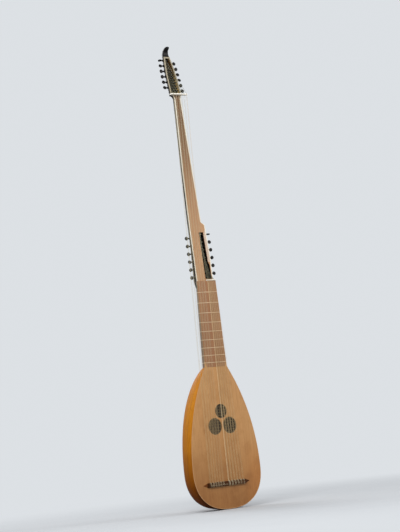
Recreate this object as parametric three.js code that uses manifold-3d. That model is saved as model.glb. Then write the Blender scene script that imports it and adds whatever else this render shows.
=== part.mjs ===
// A theorbo: a bass lute whose long neck carries two pegboxes. The lower one tunes
// the strings that are stopped on the fingerboard, the upper one the long open ones.
// Millimetres. +Z runs up along the strings, the soundboard faces -Y, and +X is the
// side of the thin strings. Inside the model z = 0 is the lower end of the
// soundboard and y = 0 its face. The last lines move the origin to the middle of
// the base.

import * as THREE from "three";
import { mergeVertices } from "three/addons/utils/BufferGeometryUtils.js";
import Module from "manifold-3d";

const wasm = await Module();
wasm.setup();

// Driving dimensions

const seat_gap = 0.3; // between pieces that are glued or pressed together
const overrun = 6; // how far a cutting solid runs past what it cuts

// String lengths and heights

const string_length = 900; // bridge to lower nut
const diapason_length = 1746; // bridge to upper nut
const bridge_z = 112; // the bridge above the lower end of the soundboard
const string_radius = 0.5;
const diapason_radius = 0.6;
const string_sides = 5;

// Body

const neck_joint_fret = 9.66; // where the neck meets the body, counted in frets
const body_width = 378;
const widest_z = 175;
const tail_fullness = 2.4; // exponent of the round lower end, 2 being an ellipse
const bowl_depth = 184.3;
const bowl_fullness = 2.15; // exponent of its cross-section, 2 being an ellipse
const bowl_back_fullness = 3.75; // exponent along its back, from the widest place up
const bowl_shoulder_fullness = 1.5; // exponent of its drop to the neck
const tail_depth_power = 0.533; // how its depth follows its width in the round end
const rib_count = 17;
const rib_thickness = 2;
const soundboard_thickness = 2;
const tail_stations = 9;
const upper_stations = 10;
const search_steps = 24; // halvings, where a height is found by trial

// Neck and fingerboard

const neck_root_width = 122;
const neck_nut_width = 104;
const neck_root_depth = 46;
const neck_nut_depth = 34;
const back_fullness = 2.3; // exponent of the rounded back of the neck
const back_steps = 10;
const fingerboard_thickness = 2.5;
const fret_radius = 0.5;
const fret_count = 9;
const fret_sides = 5;

// Extension: its edges are given in x, and places along it up from the lower nut

const face_setback = 5; // its face lies behind the fingerboard's
const extension_foot_depth = 46;
const extension_heel_up = 50; // it gets thinner fast above the neck
const extension_heel_depth = 41;
const extension_slot_up = 100;
const extension_slot_depth = 36.5;
const extension_middle_up = 150;
const extension_middle_depth = 33;
const extension_shoulder_depth = 30;
const extension_belly_depth = 25.5;
const extension_tip_depth = 24;
const extension_fullness = 2.6; // exponent of its rounded back
const scarf_reach = 30; // how far its foot laps down round the neck
const scarf_lip = 0.8; // its thickness where it ends on the neck
const face_thickness = 2;
const foot_left = -50;
const foot_right = 43;
const waist_up = 110;
const waist_right = 40;
const shoulder_up = 250; // where the thin side steps in above the lower pegbox
const shoulder_height = 18;
const shoulder_left = -59;
const shoulder_right = 29;
const shoulder_inner = 10;
const shoulder_bend_share = 0.45; // of the shoulder's height
const shoulder_step_share = 0.55; // of its step inwards, reached at the bend
const belly_up = 500;
const belly_left = -63;
const tip_left = -62;
const tip_right = -28;
const cove_height = 19; // where the extension flares out to the upper pegbox
const cove_steps = 4; // of its quarter round

// Pegs

const peg_collar_radius = 5.4;
const peg_shaft_radius = 4.4;
const peg_tip_radius = 3;
const peg_collar_length = 3;
const peg_stem_radius = 3.1;
const peg_head_radius = 8.6;
const peg_head_thickness = 6.6;
const peg_head_reach = 18; // the head's middle beyond the side of the pegbox
const peg_head_flat_share = 0.6; // of the head's radius
const peg_sides = 8;
const peg_head_sides = 10;
const peg_seat = 7; // how deep the tip sits in the far cheek
const peg_clearance = 0.3;
const lower_peg_pitch = 35.4; // between two pegs of the same side
const upper_peg_pitch = 27;
const pegs_per_side = 6;
const peg_taper = 0.015; // radius lost per length of shaft
const slot_bevel_share = 0.5; // how far a slot's mouth opens out for the bevel's depth

// Lower pegbox: a slot beside the thick bass cheek

const lower_slot_margin = 8; // from its ends to the first and the last peg
const slot_low_left = 1;
const slot_low_right = 33;
const slot_high_left = -9;
const slot_high_right = 16;
const lower_slot_depth = 23;
const lower_slot_bevel = 4;
const lower_peg_depth = 10; // the peg's axis behind the face
const lower_peg_up = 17; // the first peg above the nut

// Upper pegbox: it leans back from the upper nut

const pegbox_lean = 12.5 * Math.PI / 180;
const pegbox_x = -51;
const pegbox_width = 60;
const pegbox_depth = 30;
const pegbox_cheek = 8;
const pegbox_bevel = 3;
const pegbox_up_shares = [0, 0.17, 0.5, 0.727, 0.87, 1]; // of its length
const pegbox_width_shares = [1, 0.985, 0.92, 0.81, 0.68, 0.54]; // of its width there
const pegbox_tip_depth_share = 0.833;
const pegbox_seat_share = 0.7; // of the cheek, for a tip in a thin cheek
const pegbox_slot_up = 4;
const pegbox_slot_depth = 17.5; // its back is closed
const pegbox_slot_margin = 7.5; // beyond the last peg
const pegbox_end_wall = 7; // beyond the slot
const upper_peg_depth = 9;
const upper_peg_up = 20.5;
const finial_height = 43;
const finial_reach = 38; // half the length that its back arches forward over
const finial_end = 120 * Math.PI / 180; // where on the arch it ends
const finial_tip_width_share = 0.47; // of its width at the foot
const finial_tip_depth_share = 0.4; // of its depth at the foot
const finial_steps = 7;

// Nuts

const nut_thickness = 5;
const nut_height = 4.5; // its top in front of the fingerboard
const nut_left = 1.5;
const nut_right = 50.5;
const upper_nut_thickness = 6;
const upper_nut_height = 13; // its top in front of the soundboard's plane
const upper_nut_left = -88;
const upper_nut_right = -1;

// Courses: pairs of strings, counted from the thin side, six to each nut. The
// places are those of the first and the last course of a set.

const course_count = 6;
const nut_first_x = 45;
const nut_last_x = 5;
const bridge_first_x = 79;
const bridge_last_x = -3;
const upper_nut_first_x = -6;
const upper_nut_last_x = -79;
const bridge_first_long_x = -36;
const bridge_last_long_x = -106;
const nut_pair = 3.4; // between the two strings of a course
const bridge_pair = 5;
const lower_winding_near = 23;
const lower_winding_far = -4;
const upper_winding_near = -18; // from the pegbox's middle
const upper_winding_far = -5;
const winding_turns = 1.75;
const winding_steps = 8;
const winding_clearance = 0.35;
const winding_gap = 0.6;
const turn_steps = 4; // of the turn behind the bridge

// Bridge

const bridge_left = -117;
const bridge_right = 93;
const bridge_tip_reach = 22;
const bridge_height = 10;
const bridge_tip_height = 3;
const bridge_width = 19;
const bridge_tip_width = 3;
const bridge_hole_depth = 6.5; // in front of the soundboard
const bridge_hole_clearance = 0.5;
const bridge_hole_sides = 6;

// Rose: three latticed rounds

const rose_low_radius = 37;
const rose_top_radius = 32;
const rose_gap = 8; // between two rounds
const rose_low_share = 0.491; // of the height from the bridge to the neck
const rose_rim = 3.2;
const rose_back_lap = 6;
const rose_back_thickness = 1.4;
const lattice_pitch = 12.5;
const lattice_bar = 3;
const round_segments = 32;

// Pieces inside and at the end of the body

const bar_height = 15;
const bar_thickness = 6;
const bar_margin = 7; // between a bar's end and the ribs
const bar_foot_share = 0.48; // of the height from the tail to the bridge
const bar_middle_shares = [0.27, 0.54, 0.84]; // from the bridge to the rose
const bar_upper_shares = [0.21, 0.73]; // from the rose to the neck block
const block_length = 62;
const nail_radius = 3;
const nail_head_radius = 6.5;
const nail_head_height = 3;
const nail_grip = 40; // how far the nail goes into the neck
const nail_depth = 22; // its axis behind the soundboard's face
const nail_sides = 8;
const clasp_half_width = 96;
const clasp_depth = 30;
const clasp_thickness = 1.8;
const clasp_gap = 0.5;
const clasp_steps = 14;

// Places that follow from the sizes

const body_length = fretHeight(neck_joint_fret);
const nut_z = bridge_z + string_length;
const upper_nut_z = bridge_z + diapason_length;
const rim_y = soundboard_thickness + seat_gap;
const neck_y = fingerboard_thickness + seat_gap;
const extension_z = nut_z + seat_gap;
const extension_face_y = face_setback;
const extension_core_y = face_setback + face_thickness + seat_gap;
const extension_top = upper_nut_z - upper_nut_thickness / 2;
const extension_top_depth = upper_nut_thickness / Math.tan(pegbox_lean); // clear of the pegbox
const last_peg = 2 * pegs_per_side - 1;
const lower_slot_low = nut_z + lower_peg_up - lower_slot_margin;
const lower_last_peg_up = pegPlace(last_peg, lower_peg_up, lower_peg_pitch);
const lower_slot_high = nut_z + lower_last_peg_up + lower_slot_margin;
const upper_last_peg_up = pegPlace(last_peg, upper_peg_up, upper_peg_pitch);
const pegbox_slot_high = upper_last_peg_up + pegbox_slot_margin;
const pegbox_length = pegbox_slot_high + pegbox_end_wall;

// The height of a fret in equal temperament, counted from the lower nut.
function fretHeight(number) {
  return bridge_z + string_length * 2 ** (-number / 12);
}

// A peg's place above its nut. Pegs are numbered from the nut, side by side in turn.
function pegPlace(number, first, pitch) {
  return first + number * pitch / 2;
}

// Materials

function material(color, roughness) {
  return new THREE.MeshStandardMaterial({ color, roughness, metalness: 0 });
}

const spruce = material(0xbf935f, 0.5);
const rib_wood = material(0xb9741f, 0.3);
const ebony = material(0x17130f, 0.35);
const face_wood = material(0xb98c64, 0.45);
const fingerboard_wood = material(0xa97b5d, 0.5);
const neck_wood = material(0x8f6b50, 0.45);
const block_wood = material(0xb89a6b, 0.7);
const bone = material(0xe2dbc8, 0.35);
const gut = material(0xcdb893, 0.5);
const rose_wood = material(0x4a3a28, 0.6);
const bridge_wood = material(0x33241a, 0.4);
const iron = new THREE.MeshStandardMaterial({ color: 0x55504a, roughness: 0.6, metalness: 1 });

// Helpers: solids from rings of points, tubes, cuts and joins

function vec(x, y, z) {
  return new THREE.Vector3(x, y, z);
}

function mix(a, b, share) {
  return a + (b - a) * share;
}

// Reads a value off places, each [height, value], joined by straight lines.
function along(places, up) {
  const last = places.length - 1;
  const after = places.findIndex((place) => place[0] > up);
  if (after === 0) return places[0][1];
  if (after < 0) return places[last][1];
  const [low, low_value] = places[after - 1];
  const [high, high_value] = places[after];
  return mix(low_value, high_value, (up - low) / (high - low));
}

// A closed body from rings of equally many points. The rings run counterclockwise
// when looked at against the direction in which they follow each other.
function loft(rings) {
  const size = rings[0].length;
  const positions = rings.flat().flatMap((point) => point.toArray());
  const faces = [];
  for (let ring = 0; ring + 1 < rings.length; ring += 1) {
    for (let i = 0; i < size; i += 1) {
      const j = (i + 1) % size;
      const low = ring * size;
      const high = low + size;
      faces.push(low + i, low + j, high + j, low + i, high + j, high + i);
    }
  }
  const flats = [rings[0], rings[rings.length - 1]];
  flats.forEach((ring, which) => {
    const middle = ring.reduce((sum, point) => sum.add(point), vec(0, 0, 0));
    middle.divideScalar(size);
    const centre = positions.length / 3;
    positions.push(...middle.toArray());
    const start = which === 0 ? 0 : (rings.length - 1) * size;
    for (let i = 0; i < size; i += 1) {
      const j = (i + 1) % size;
      const pair = which === 0 ? [start + j, start + i] : [start + i, start + j];
      faces.push(centre, ...pair);
    }
  });
  const geometry = new THREE.BufferGeometry();
  geometry.setAttribute("position", new THREE.Float32BufferAttribute(positions, 3));
  geometry.setIndex(faces);
  return geometry;
}

// The directions across a line of points, carried along without twist.
function frames(points, closed) {
  const count = points.length;
  const tangents = points.map((point, i) => {
    const before = closed ? points[(i + count - 1) % count] : points[Math.max(i - 1, 0)];
    const after = closed ? points[(i + 1) % count] : points[Math.min(i + 1, count - 1)];
    const back = point.clone().sub(before).normalize();
    const ahead = after.clone().sub(point).normalize();
    return back.add(ahead).normalize();
  });
  const start = Math.abs(tangents[0].z) > 0.9 ? vec(1, 0, 0) : vec(0, 0, 1);
  let side = start.addScaledVector(tangents[0], -start.dot(tangents[0])).normalize();
  return tangents.map((tangent, i) => {
    const before = tangents[Math.max(i - 1, 0)];
    const turn = new THREE.Quaternion().setFromUnitVectors(before, tangent);
    side = side.clone().applyQuaternion(turn);
    return { side, up: tangent.clone().cross(side) };
  });
}

function tubeRings(points, radius, sides, closed) {
  return frames(points, closed).map(({ side, up }, i) => {
    const ring = [];
    for (let k = 0; k < sides; k += 1) {
      const angle = 2 * Math.PI * k / sides;
      const spoke = side.clone().multiplyScalar(Math.cos(angle) * radius);
      spoke.addScaledVector(up, Math.sin(angle) * radius);
      ring.push(points[i].clone().add(spoke));
    }
    return ring;
  });
}

function tube(points, radius, sides) {
  return loft(tubeRings(points, radius, sides, false));
}

// A closed loop of cord. The ring of its start is repeated at its end.
function loop(points, radius, sides) {
  const rings = tubeRings(points, radius, sides, true);
  const count = rings.length;
  const positions = rings.flat().flatMap((point) => point.toArray());
  const faces = [];
  for (let ring = 0; ring < count; ring += 1) {
    for (let i = 0; i < sides; i += 1) {
      const j = (i + 1) % sides;
      const low = ring * sides;
      const high = ((ring + 1) % count) * sides;
      faces.push(low + i, low + j, high + j, low + i, high + j, high + i);
    }
  }
  const geometry = new THREE.BufferGeometry();
  geometry.setAttribute("position", new THREE.Float32BufferAttribute(positions, 3));
  geometry.setIndex(faces);
  return geometry;
}

function solidOf(geometry) {
  let clean = geometry.clone();
  clean.deleteAttribute("normal");
  clean.deleteAttribute("uv");
  clean = mergeVertices(clean);
  return new wasm.Manifold(new wasm.Mesh({
    numProp: 3,
    vertProperties: new Float32Array(clean.attributes.position.array),
    triVerts: new Uint32Array(clean.index.array),
  }));
}

function geometryOf(solid) {
  const mesh = solid.getMesh();
  const geometry = new THREE.BufferGeometry();
  geometry.setAttribute("position", new THREE.BufferAttribute(mesh.vertProperties, 3));
  geometry.setIndex(new THREE.BufferAttribute(mesh.triVerts, 1));
  return geometry;
}

function cut(solid, geometries) {
  return geometries.reduce((rest, geometry) => rest.subtract(solidOf(geometry)), solid);
}

// A plate between two depths whose outline is drawn in x and z.
function plate(outline, front, back) {
  const shape = new THREE.Shape(outline.map(([x, z]) => new THREE.Vector2(x, z)));
  const options = { depth: back - front, bevelEnabled: false, curveSegments: round_segments };
  const geometry = new THREE.ExtrudeGeometry(shape, options);
  geometry.rotateX(Math.PI / 2);
  geometry.translate(0, back, 0);
  return geometry;
}

function roundOutline(x, z, radius) {
  const outline = [];
  for (let i = 0; i < round_segments; i += 1) {
    const angle = 2 * Math.PI * i / round_segments;
    outline.push([x + radius * Math.cos(angle), z + radius * Math.sin(angle)]);
  }
  return outline;
}

function box(x0, x1, y0, y1, z0, z1) {
  const geometry = new THREE.BoxGeometry(x1 - x0, y1 - y0, z1 - z0);
  geometry.translate((x0 + x1) / 2, (y0 + y1) / 2, (z0 + z1) / 2);
  return geometry;
}

// The flat front and rounded back that neck, extension and pegbox share.
function backedRing(left, right, front, depth, z, fullness) {
  const ring = [];
  const middle = (left + right) / 2;
  const half = (right - left) / 2;
  for (let i = 0; i <= back_steps; i += 1) {
    const angle = Math.PI * i / back_steps;
    const across = Math.cos(angle);
    const behind = Math.sin(angle);
    const x = Math.sign(across) * Math.abs(across) ** (2 / fullness);
    ring.push(vec(middle + half * x, front + depth * behind ** (2 / fullness), z));
  }
  return ring;
}

// Body: half width at a height, for the outside or for a surface set in from it

function upperHalfWidth(z, inset) {
  const drop = body_width / 2 - neck_root_width / 2;
  const rise = body_length - widest_z;
  const radius = (rise ** 2 + drop ** 2) / (2 * drop);
  const centre = body_width / 2 - radius;
  return centre + Math.sqrt((radius - inset) ** 2 - (z - widest_z) ** 2);
}

function bodyStations(inset) {
  const half = body_width / 2 - inset;
  const tail = widest_z - inset;
  const stations = [];
  for (let i = 0; i < tail_stations; i += 1) {
    const angle = Math.PI / 2 * i / tail_stations;
    stations.push({
      z: widest_z - tail * Math.cos(angle) ** (2 / tail_fullness),
      half: half * Math.sin(angle) ** (2 / tail_fullness),
    });
  }
  for (let i = 0; i <= upper_stations; i += 1) {
    const share = Math.sin(Math.PI / 2 * i / upper_stations);
    const z = mix(widest_z, body_length, share);
    stations.push({ z, half: upperHalfWidth(z, inset) });
  }
  return stations;
}

// The depth of the bowl behind its rim, where it has this half width. A surface set
// in from the outside drops to the neck earlier by the same length.
function bowlDepth(z, half, inset) {
  const deep = bowl_depth - rim_y;
  if (z <= widest_z) {
    return (deep - inset) * (half / (body_width / 2 - inset)) ** tail_depth_power;
  }
  const share = Math.min(1, (z + inset - widest_z) / (body_length - widest_z));
  const rise = (1 - share ** bowl_back_fullness) ** (1 / bowl_shoulder_fullness);
  return mix(neck_root_depth - rim_y, deep, rise) - inset;
}

// One cross-section of the bowl: a corner at each joint between two ribs.
function bowlRing({ z, half }, inset) {
  const depth = bowlDepth(z, half, inset);
  const ring = [];
  for (let i = 0; i <= rib_count; i += 1) {
    const angle = Math.PI * i / rib_count;
    const across = Math.cos(angle);
    const x = Math.sign(across) * Math.abs(across) ** (2 / bowl_fullness);
    const behind = Math.sin(angle) ** (2 / bowl_fullness);
    ring.push(vec(half * x, rim_y + depth * behind, z));
  }
  return ring;
}

// The cross-section at any height, on the straight lines between two stations.
function ringAt(z, inset) {
  const stations = bodyStations(inset);
  const above = stations.findIndex((station) => station.z > z);
  const low = stations[above - 1];
  const high = stations[above];
  const share = (z - low.z) / (high.z - low.z);
  const far = bowlRing(high, inset);
  return bowlRing(low, inset).map((point, i) => point.lerp(far[i], share));
}

function bowl() {
  const outside = bodyStations(0).map((station) => bowlRing(station, 0));
  const inset = rib_thickness;
  const inside = bodyStations(inset).map((station) => bowlRing(station, inset));
  const mouth = inside[inside.length - 1];
  inside.push(mouth.map((point) => point.clone().setZ(point.z + overrun)));
  const hollow = inside.map((ring) => [
    ring[0].clone().setY(rim_y - overrun), ...ring,
    ring[rib_count].clone().setY(rim_y - overrun),
  ]);
  return geometryOf(solidOf(loft(outside)).subtract(solidOf(loft(hollow))));
}

function bodyOutline() {
  const stations = bodyStations(0);
  const right = stations.map(({ z, half }) => [half, z]);
  const left = stations.slice(1).reverse().map(({ z, half }) => [-half, z]);
  return [...right, ...left];
}

// The three rounds stand the same gap from each other.
const rose_low_x = rose_low_radius + rose_gap / 2;
const rose_low_z = mix(bridge_z, body_length, rose_low_share);
const rose_reach = rose_low_radius + rose_gap + rose_top_radius;
const rose_top_z = rose_low_z + Math.sqrt(rose_reach ** 2 - rose_low_x ** 2);

const rose_rounds = [
  { x: -rose_low_x, z: rose_low_z, radius: rose_low_radius },
  { x: rose_low_x, z: rose_low_z, radius: rose_low_radius },
  { x: 0, z: rose_top_z, radius: rose_top_radius },
];

// The heights of the bars, which keep clear of the rose and the neck block.
function barHeights() {
  const rose_foot = rose_low_z - rose_low_radius - rose_back_lap;
  const rose_head = rose_top_z + rose_top_radius + rose_back_lap;
  const block_foot = body_length - block_length;
  return [
    bar_foot_share * bridge_z,
    ...bar_middle_shares.map((share) => mix(bridge_z, rose_foot, share)),
    ...bar_upper_shares.map((share) => mix(rose_head, block_foot, share)),
  ];
}

function soundboard() {
  let board = solidOf(plate(bodyOutline(), 0, soundboard_thickness));
  board = cut(board, rose_rounds.map(({ x, z, radius }) => (
    plate(roundOutline(x, z, radius), -overrun, soundboard_thickness + overrun)
  )));
  barHeights().forEach((z) => {
    const reach = ringAt(z, rib_thickness)[0].x - bar_margin;
    const bar = box(
      -reach, reach, soundboard_thickness - seat_gap, bar_height,
      z - bar_thickness / 2, z + bar_thickness / 2,
    );
    board = board.add(solidOf(bar));
  });
  return geometryOf(board);
}

// The rose: a backing plate under the soundboard whose three rounds fill the
// holes, pierced by a lattice of lozenges.
function latticeCuts({ x, z, radius }) {
  const cuts = [];
  const field = radius - rose_rim;
  const reach = Math.ceil(field / lattice_pitch);
  const half = (lattice_pitch - lattice_bar) / 2;
  for (let i = -reach; i <= reach; i += 1) {
    for (let j = -reach; j <= reach; j += 1) {
      const across = i * lattice_pitch;
      const up = j * lattice_pitch;
      if (Math.hypot(Math.abs(across) + half, Math.abs(up) + half) < field) {
        const left = x + across - half;
        const low = z + up - half;
        cuts.push(box(
          left, left + 2 * half, -overrun, rim_y + overrun, low, low + 2 * half,
        ));
      }
    }
  }
  return cuts;
}

function rose() {
  let solid = null;
  rose_rounds.forEach(({ x, z, radius }) => {
    const back = plate(
      roundOutline(x, z, radius + rose_back_lap), rim_y, rim_y + rose_back_thickness,
    );
    const front = plate(roundOutline(x, z, radius - seat_gap), 0, rim_y + seat_gap);
    const both = solidOf(back).add(solidOf(front));
    solid = solid === null ? both : solid.add(both);
  });
  return geometryOf(cut(solid, rose_rounds.flatMap(latticeCuts)));
}

// The height of the round end's outside at a place across it and behind its rim.
function tailHeight(x, y) {
  let low = 0;
  let high = body_width / 2;
  for (let i = 0; i < search_steps; i += 1) {
    const half = (low + high) / 2;
    const across = Math.abs(x) / half;
    const behind = (y - rim_y) / bowlDepth(0, half, 0);
    const outside = across ** bowl_fullness + behind ** bowl_fullness > 1;
    low = outside ? half : low;
    high = outside ? high : half;
  }
  const share = (high / (body_width / 2)) ** tail_fullness;
  return widest_z * (1 - (1 - share) ** (1 / tail_fullness));
}

// The clasp: a strip bent over the ends of the ribs at the foot of the body.
function endClasp() {
  const rings = [];
  for (let i = 0; i <= clasp_steps; i += 1) {
    const x = mix(-clasp_half_width, clasp_half_width, i / clasp_steps);
    const depths = [rim_y, mix(rim_y, clasp_depth, 0.5), clasp_depth];
    const inner = depths.map((y) => vec(x, y, tailHeight(x, y) - clasp_gap));
    const outer = inner.map((point) => point.clone().setZ(point.z - clasp_thickness));
    rings.push([...inner.reverse(), ...outer]);
  }
  return loft(rings);
}

// A lathe-turned piece or bore that stands along z at the nail's place.
function nailTurning(profile) {
  const points = profile.map(([radius, z]) => new THREE.Vector2(radius, z));
  const turned = new THREE.LatheGeometry(points, nail_sides);
  turned.rotateX(Math.PI / 2);
  turned.translate(0, nail_depth, 0);
  return turned;
}

function neckNail() {
  const tip = body_length + nail_grip;
  const seat = body_length - block_length - seat_gap;
  const head = seat - nail_head_height;
  return nailTurning([
    [0, head], [nail_head_radius, head], [nail_head_radius, seat],
    [nail_radius, seat], [nail_radius, tip - nail_head_height], [0, tip],
  ]);
}

function nailBore() {
  const low = body_length - block_length - overrun;
  const high = body_length + nail_grip + seat_gap;
  const radius = nail_radius + seat_gap;
  return nailTurning([[0, low], [radius, low], [radius, high], [0, high]]);
}

function neckBlock() {
  const inset = rib_thickness + seat_gap;
  const foot = body_length - block_length;
  const above = bodyStations(inset).filter(({ z }) => z > foot);
  const rings = above.map((station) => bowlRing(station, inset));
  return geometryOf(cut(solidOf(loft([ringAt(foot, inset), ...rings])), [nailBore()]));
}

// Neck and fingerboard

function neckHalf(z) {
  const share = (z - body_length) / (nut_z - body_length);
  return mix(neck_root_width, neck_nut_width, share) / 2;
}

function neckDepth(z) {
  const share = (z - body_length) / (nut_z - body_length);
  return mix(neck_root_depth, neck_nut_depth, share);
}

// The neck's outline at a height, larger all round by a margin.
function neckRing(z, margin) {
  const half = neckHalf(z) + margin;
  const depth = neckDepth(z) - neck_y + 2 * margin;
  return backedRing(-half, half, neck_y - margin, depth, z, back_fullness);
}

function neck() {
  const body = loft([neckRing(body_length + seat_gap, 0), neckRing(nut_z, 0)]);
  return geometryOf(cut(solidOf(body), [nailBore()]));
}

function fingerboard() {
  const foot = body_length + seat_gap;
  const outline = [
    [-neckHalf(foot), foot], [neckHalf(foot), foot],
    [neckHalf(nut_z), nut_z], [-neckHalf(nut_z), nut_z],
  ];
  return plate(outline, 0, fingerboard_thickness);
}

// A fret: a loop of gut tied round the neck.
function fret(number) {
  const z = fretHeight(number);
  const off = seat_gap + fret_radius;
  const half = neckHalf(z) + off;
  const depth = neckDepth(z) - neck_y + off;
  const back = backedRing(-half, half, neck_y, depth, z, back_fullness);
  const front = [-half, half].map((x) => vec(x, -off, z));
  return loop([...back, ...front], fret_radius, fret_sides);
}

// Extension with the lower pegbox

const cove_up = extension_top - cove_height - nut_z;

const left_places = [
  [0, foot_left], [shoulder_up, shoulder_left], [belly_up, belly_left], [cove_up, tip_left],
];

const right_places = [
  [0, foot_right], [waist_up, waist_right], [shoulder_up, shoulder_right],
  [
    shoulder_up + shoulder_height * shoulder_bend_share,
    mix(shoulder_right, shoulder_inner, shoulder_step_share),
  ],
  [shoulder_up + shoulder_height, shoulder_inner], [cove_up, tip_right],
];

const depth_places = [
  [0, extension_foot_depth], [extension_heel_up, extension_heel_depth],
  [extension_slot_up, extension_slot_depth], [extension_middle_up, extension_middle_depth],
  [shoulder_up, extension_shoulder_depth], [belly_up, extension_belly_depth],
  [cove_up, extension_tip_depth],
];

function extensionLeft(z) {
  return along(left_places, z - nut_z);
}

function extensionRight(z) {
  return along(right_places, z - nut_z);
}

function extensionDepth(z) {
  return along(depth_places, z - nut_z);
}

// Heights at which the extension's outline turns, with the cove as a quarter round.
function extensionStations() {
  const places = [...left_places, ...right_places, ...depth_places];
  const ups = places.map(([up]) => Math.max(up, seat_gap));
  const turns = [...new Set(ups)].sort((a, b) => a - b).filter((up) => up < cove_up);
  const shaft = turns.map((up) => ({ z: nut_z + up, flare: 0 }));
  const cove = [];
  for (let i = 0; i <= cove_steps; i += 1) {
    const angle = Math.PI / 2 * i / cove_steps;
    const z = extension_top - cove_height * Math.cos(angle);
    cove.push({ z, flare: 1 - Math.cos(angle) ** 2 });
  }
  return [...shaft, ...cove];
}

function extensionEdges({ z, flare }) {
  const half = pegbox_width / 2;
  return {
    left: mix(extensionLeft(z), pegbox_x - half, flare),
    right: mix(extensionRight(z), pegbox_x + half, flare),
    depth: mix(extensionDepth(z), extension_top_depth, flare),
  };
}

function slotSides(z) {
  const share = (z - lower_slot_low) / (lower_slot_high - lower_slot_low);
  return {
    left: mix(slot_low_left, slot_high_left, share),
    right: mix(slot_low_right, slot_high_right, share),
  };
}

// The space of a slot that opens in a face: straight walls, and a mouth that opens
// out from the bevel's depth. The ring is drawn at a depth, wider by a margin.
function slotSpace(ring, face, back, bevel) {
  const front = face - overrun;
  const wall = loft([ring(back, 0), ring(front, 0)]);
  const mouth = loft([ring(face + bevel, 0), ring(front, slot_bevel_share * (bevel + overrun))]);
  return [wall, mouth];
}

function lowerSlotRing(y, margin) {
  const foot = slotSides(lower_slot_low);
  const top = slotSides(lower_slot_high);
  return [
    vec(foot.left - margin, y, lower_slot_low), vec(foot.right + margin, y, lower_slot_low),
    vec(top.right + margin, y, lower_slot_high), vec(top.left - margin, y, lower_slot_high),
  ];
}

function lowerSlot(back) {
  return slotSpace(lowerSlotRing, extension_face_y, back, lower_slot_bevel);
}

// Pegs of the lower pegbox whose number is odd have their heads on the thin side.
function lowerPeg(number) {
  const z = nut_z + pegPlace(number, lower_peg_up, lower_peg_pitch);
  const rightward = number % 2 === 1;
  const slot = slotSides(z);
  const edge = rightward ? extensionRight(z) : extensionLeft(z);
  const far = rightward ? slot.left - peg_seat : slot.right + peg_seat;
  return { z, y: extension_face_y + lower_peg_depth, edge, far, sign: rightward ? 1 : -1 };
}

const pegbox_places = pegbox_up_shares.map((share, i) => (
  [share * pegbox_length, pegbox_width_shares[i] * pegbox_width / 2]
));

function pegboxHalf(up) {
  return along(pegbox_places, up);
}

function upperPeg(number) {
  const z = pegPlace(number, upper_peg_up, upper_peg_pitch);
  const half = pegboxHalf(z);
  const sign = number % 2 === 1 ? -1 : 1;
  const seat = Math.min(peg_seat, pegbox_cheek * pegbox_seat_share);
  const far = -sign * (half - pegbox_cheek + seat);
  return { z, y: upper_peg_depth, edge: sign * half, far, sign };
}

function shaftRadius(distance) {
  return Math.max(peg_tip_radius, peg_shaft_radius - peg_taper * distance);
}

// A peg lies along x with its collar just outside the cheek. The profile runs
// from the tip to the stem under the head.
function pegBody({ edge, far, sign }) {
  const reach = Math.abs(edge - far);
  const collar = -seat_gap - peg_collar_length;
  const profile = [
    [0, reach], [shaftRadius(reach), reach], [peg_shaft_radius, 0],
    [peg_shaft_radius, -seat_gap], [peg_collar_radius, -seat_gap],
    [peg_collar_radius, collar], [peg_stem_radius, collar - peg_collar_length],
    [peg_stem_radius, -peg_head_reach], [0, -peg_head_reach],
  ];
  const points = profile.reverse().map(([radius, depth]) => new THREE.Vector2(radius, depth));
  const turned = new THREE.LatheGeometry(points, peg_sides);
  turned.rotateZ(sign * Math.PI / 2);
  return turned;
}

// The head is a thick round leaf whose middle plane holds the peg's axis.
function pegHead(sign, turn) {
  const half = peg_head_thickness / 2;
  const flat = peg_head_radius * peg_head_flat_share;
  const profile = [
    [0, -half], [flat, -half], [peg_head_radius, -half / 3],
    [peg_head_radius, half / 3], [flat, half], [0, half],
  ];
  const points = profile.map(([radius, height]) => new THREE.Vector2(radius, height));
  const leaf = new THREE.LatheGeometry(points, peg_head_sides);
  leaf.rotateX(turn);
  leaf.translate(sign * peg_head_reach, 0, 0);
  return leaf;
}

const head_turns_share = [
  0.03, -0.06, 0.1, 0, -0.09, 0.07, -0.02, 0.05, 0.08, -0.05, 0.01, 0.48,
];

function peg(place, number) {
  const turn = Math.PI * head_turns_share[number];
  const solid = solidOf(pegBody(place)).add(solidOf(pegHead(place.sign, turn)));
  return geometryOf(solid);
}

// The bore that a peg turns in, wider than the shaft's corners by the clearance.
function pegBore({ edge, far, sign, y, z }) {
  const reach = Math.abs(edge - far) + peg_clearance;
  const corner = 1 / Math.cos(Math.PI / peg_sides);
  const profile = [
    [0, reach], [(shaftRadius(reach) + peg_clearance) * corner, reach],
    [(peg_shaft_radius + peg_clearance) * corner, 0],
    [(peg_shaft_radius + peg_clearance) * corner, -overrun], [0, -overrun],
  ];
  const points = profile.reverse().map(([radius, depth]) => new THREE.Vector2(radius, depth));
  const bore = new THREE.LatheGeometry(points, peg_sides);
  bore.rotateZ(sign * Math.PI / 2);
  bore.translate(edge, y, z);
  return bore;
}

const peg_numbers = Array.from({ length: 2 * pegs_per_side }, (unused, number) => number);

// The lap: the extension's foot reaches down round the back of the neck, where its
// end stands out by the lip.
function scarfRing() {
  const z = nut_z - scarf_reach;
  const off = seat_gap + scarf_lip;
  const half = neckHalf(z) + off;
  return backedRing(-half, half, neck_y, neckDepth(z) - neck_y + off, z, back_fullness);
}

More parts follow.
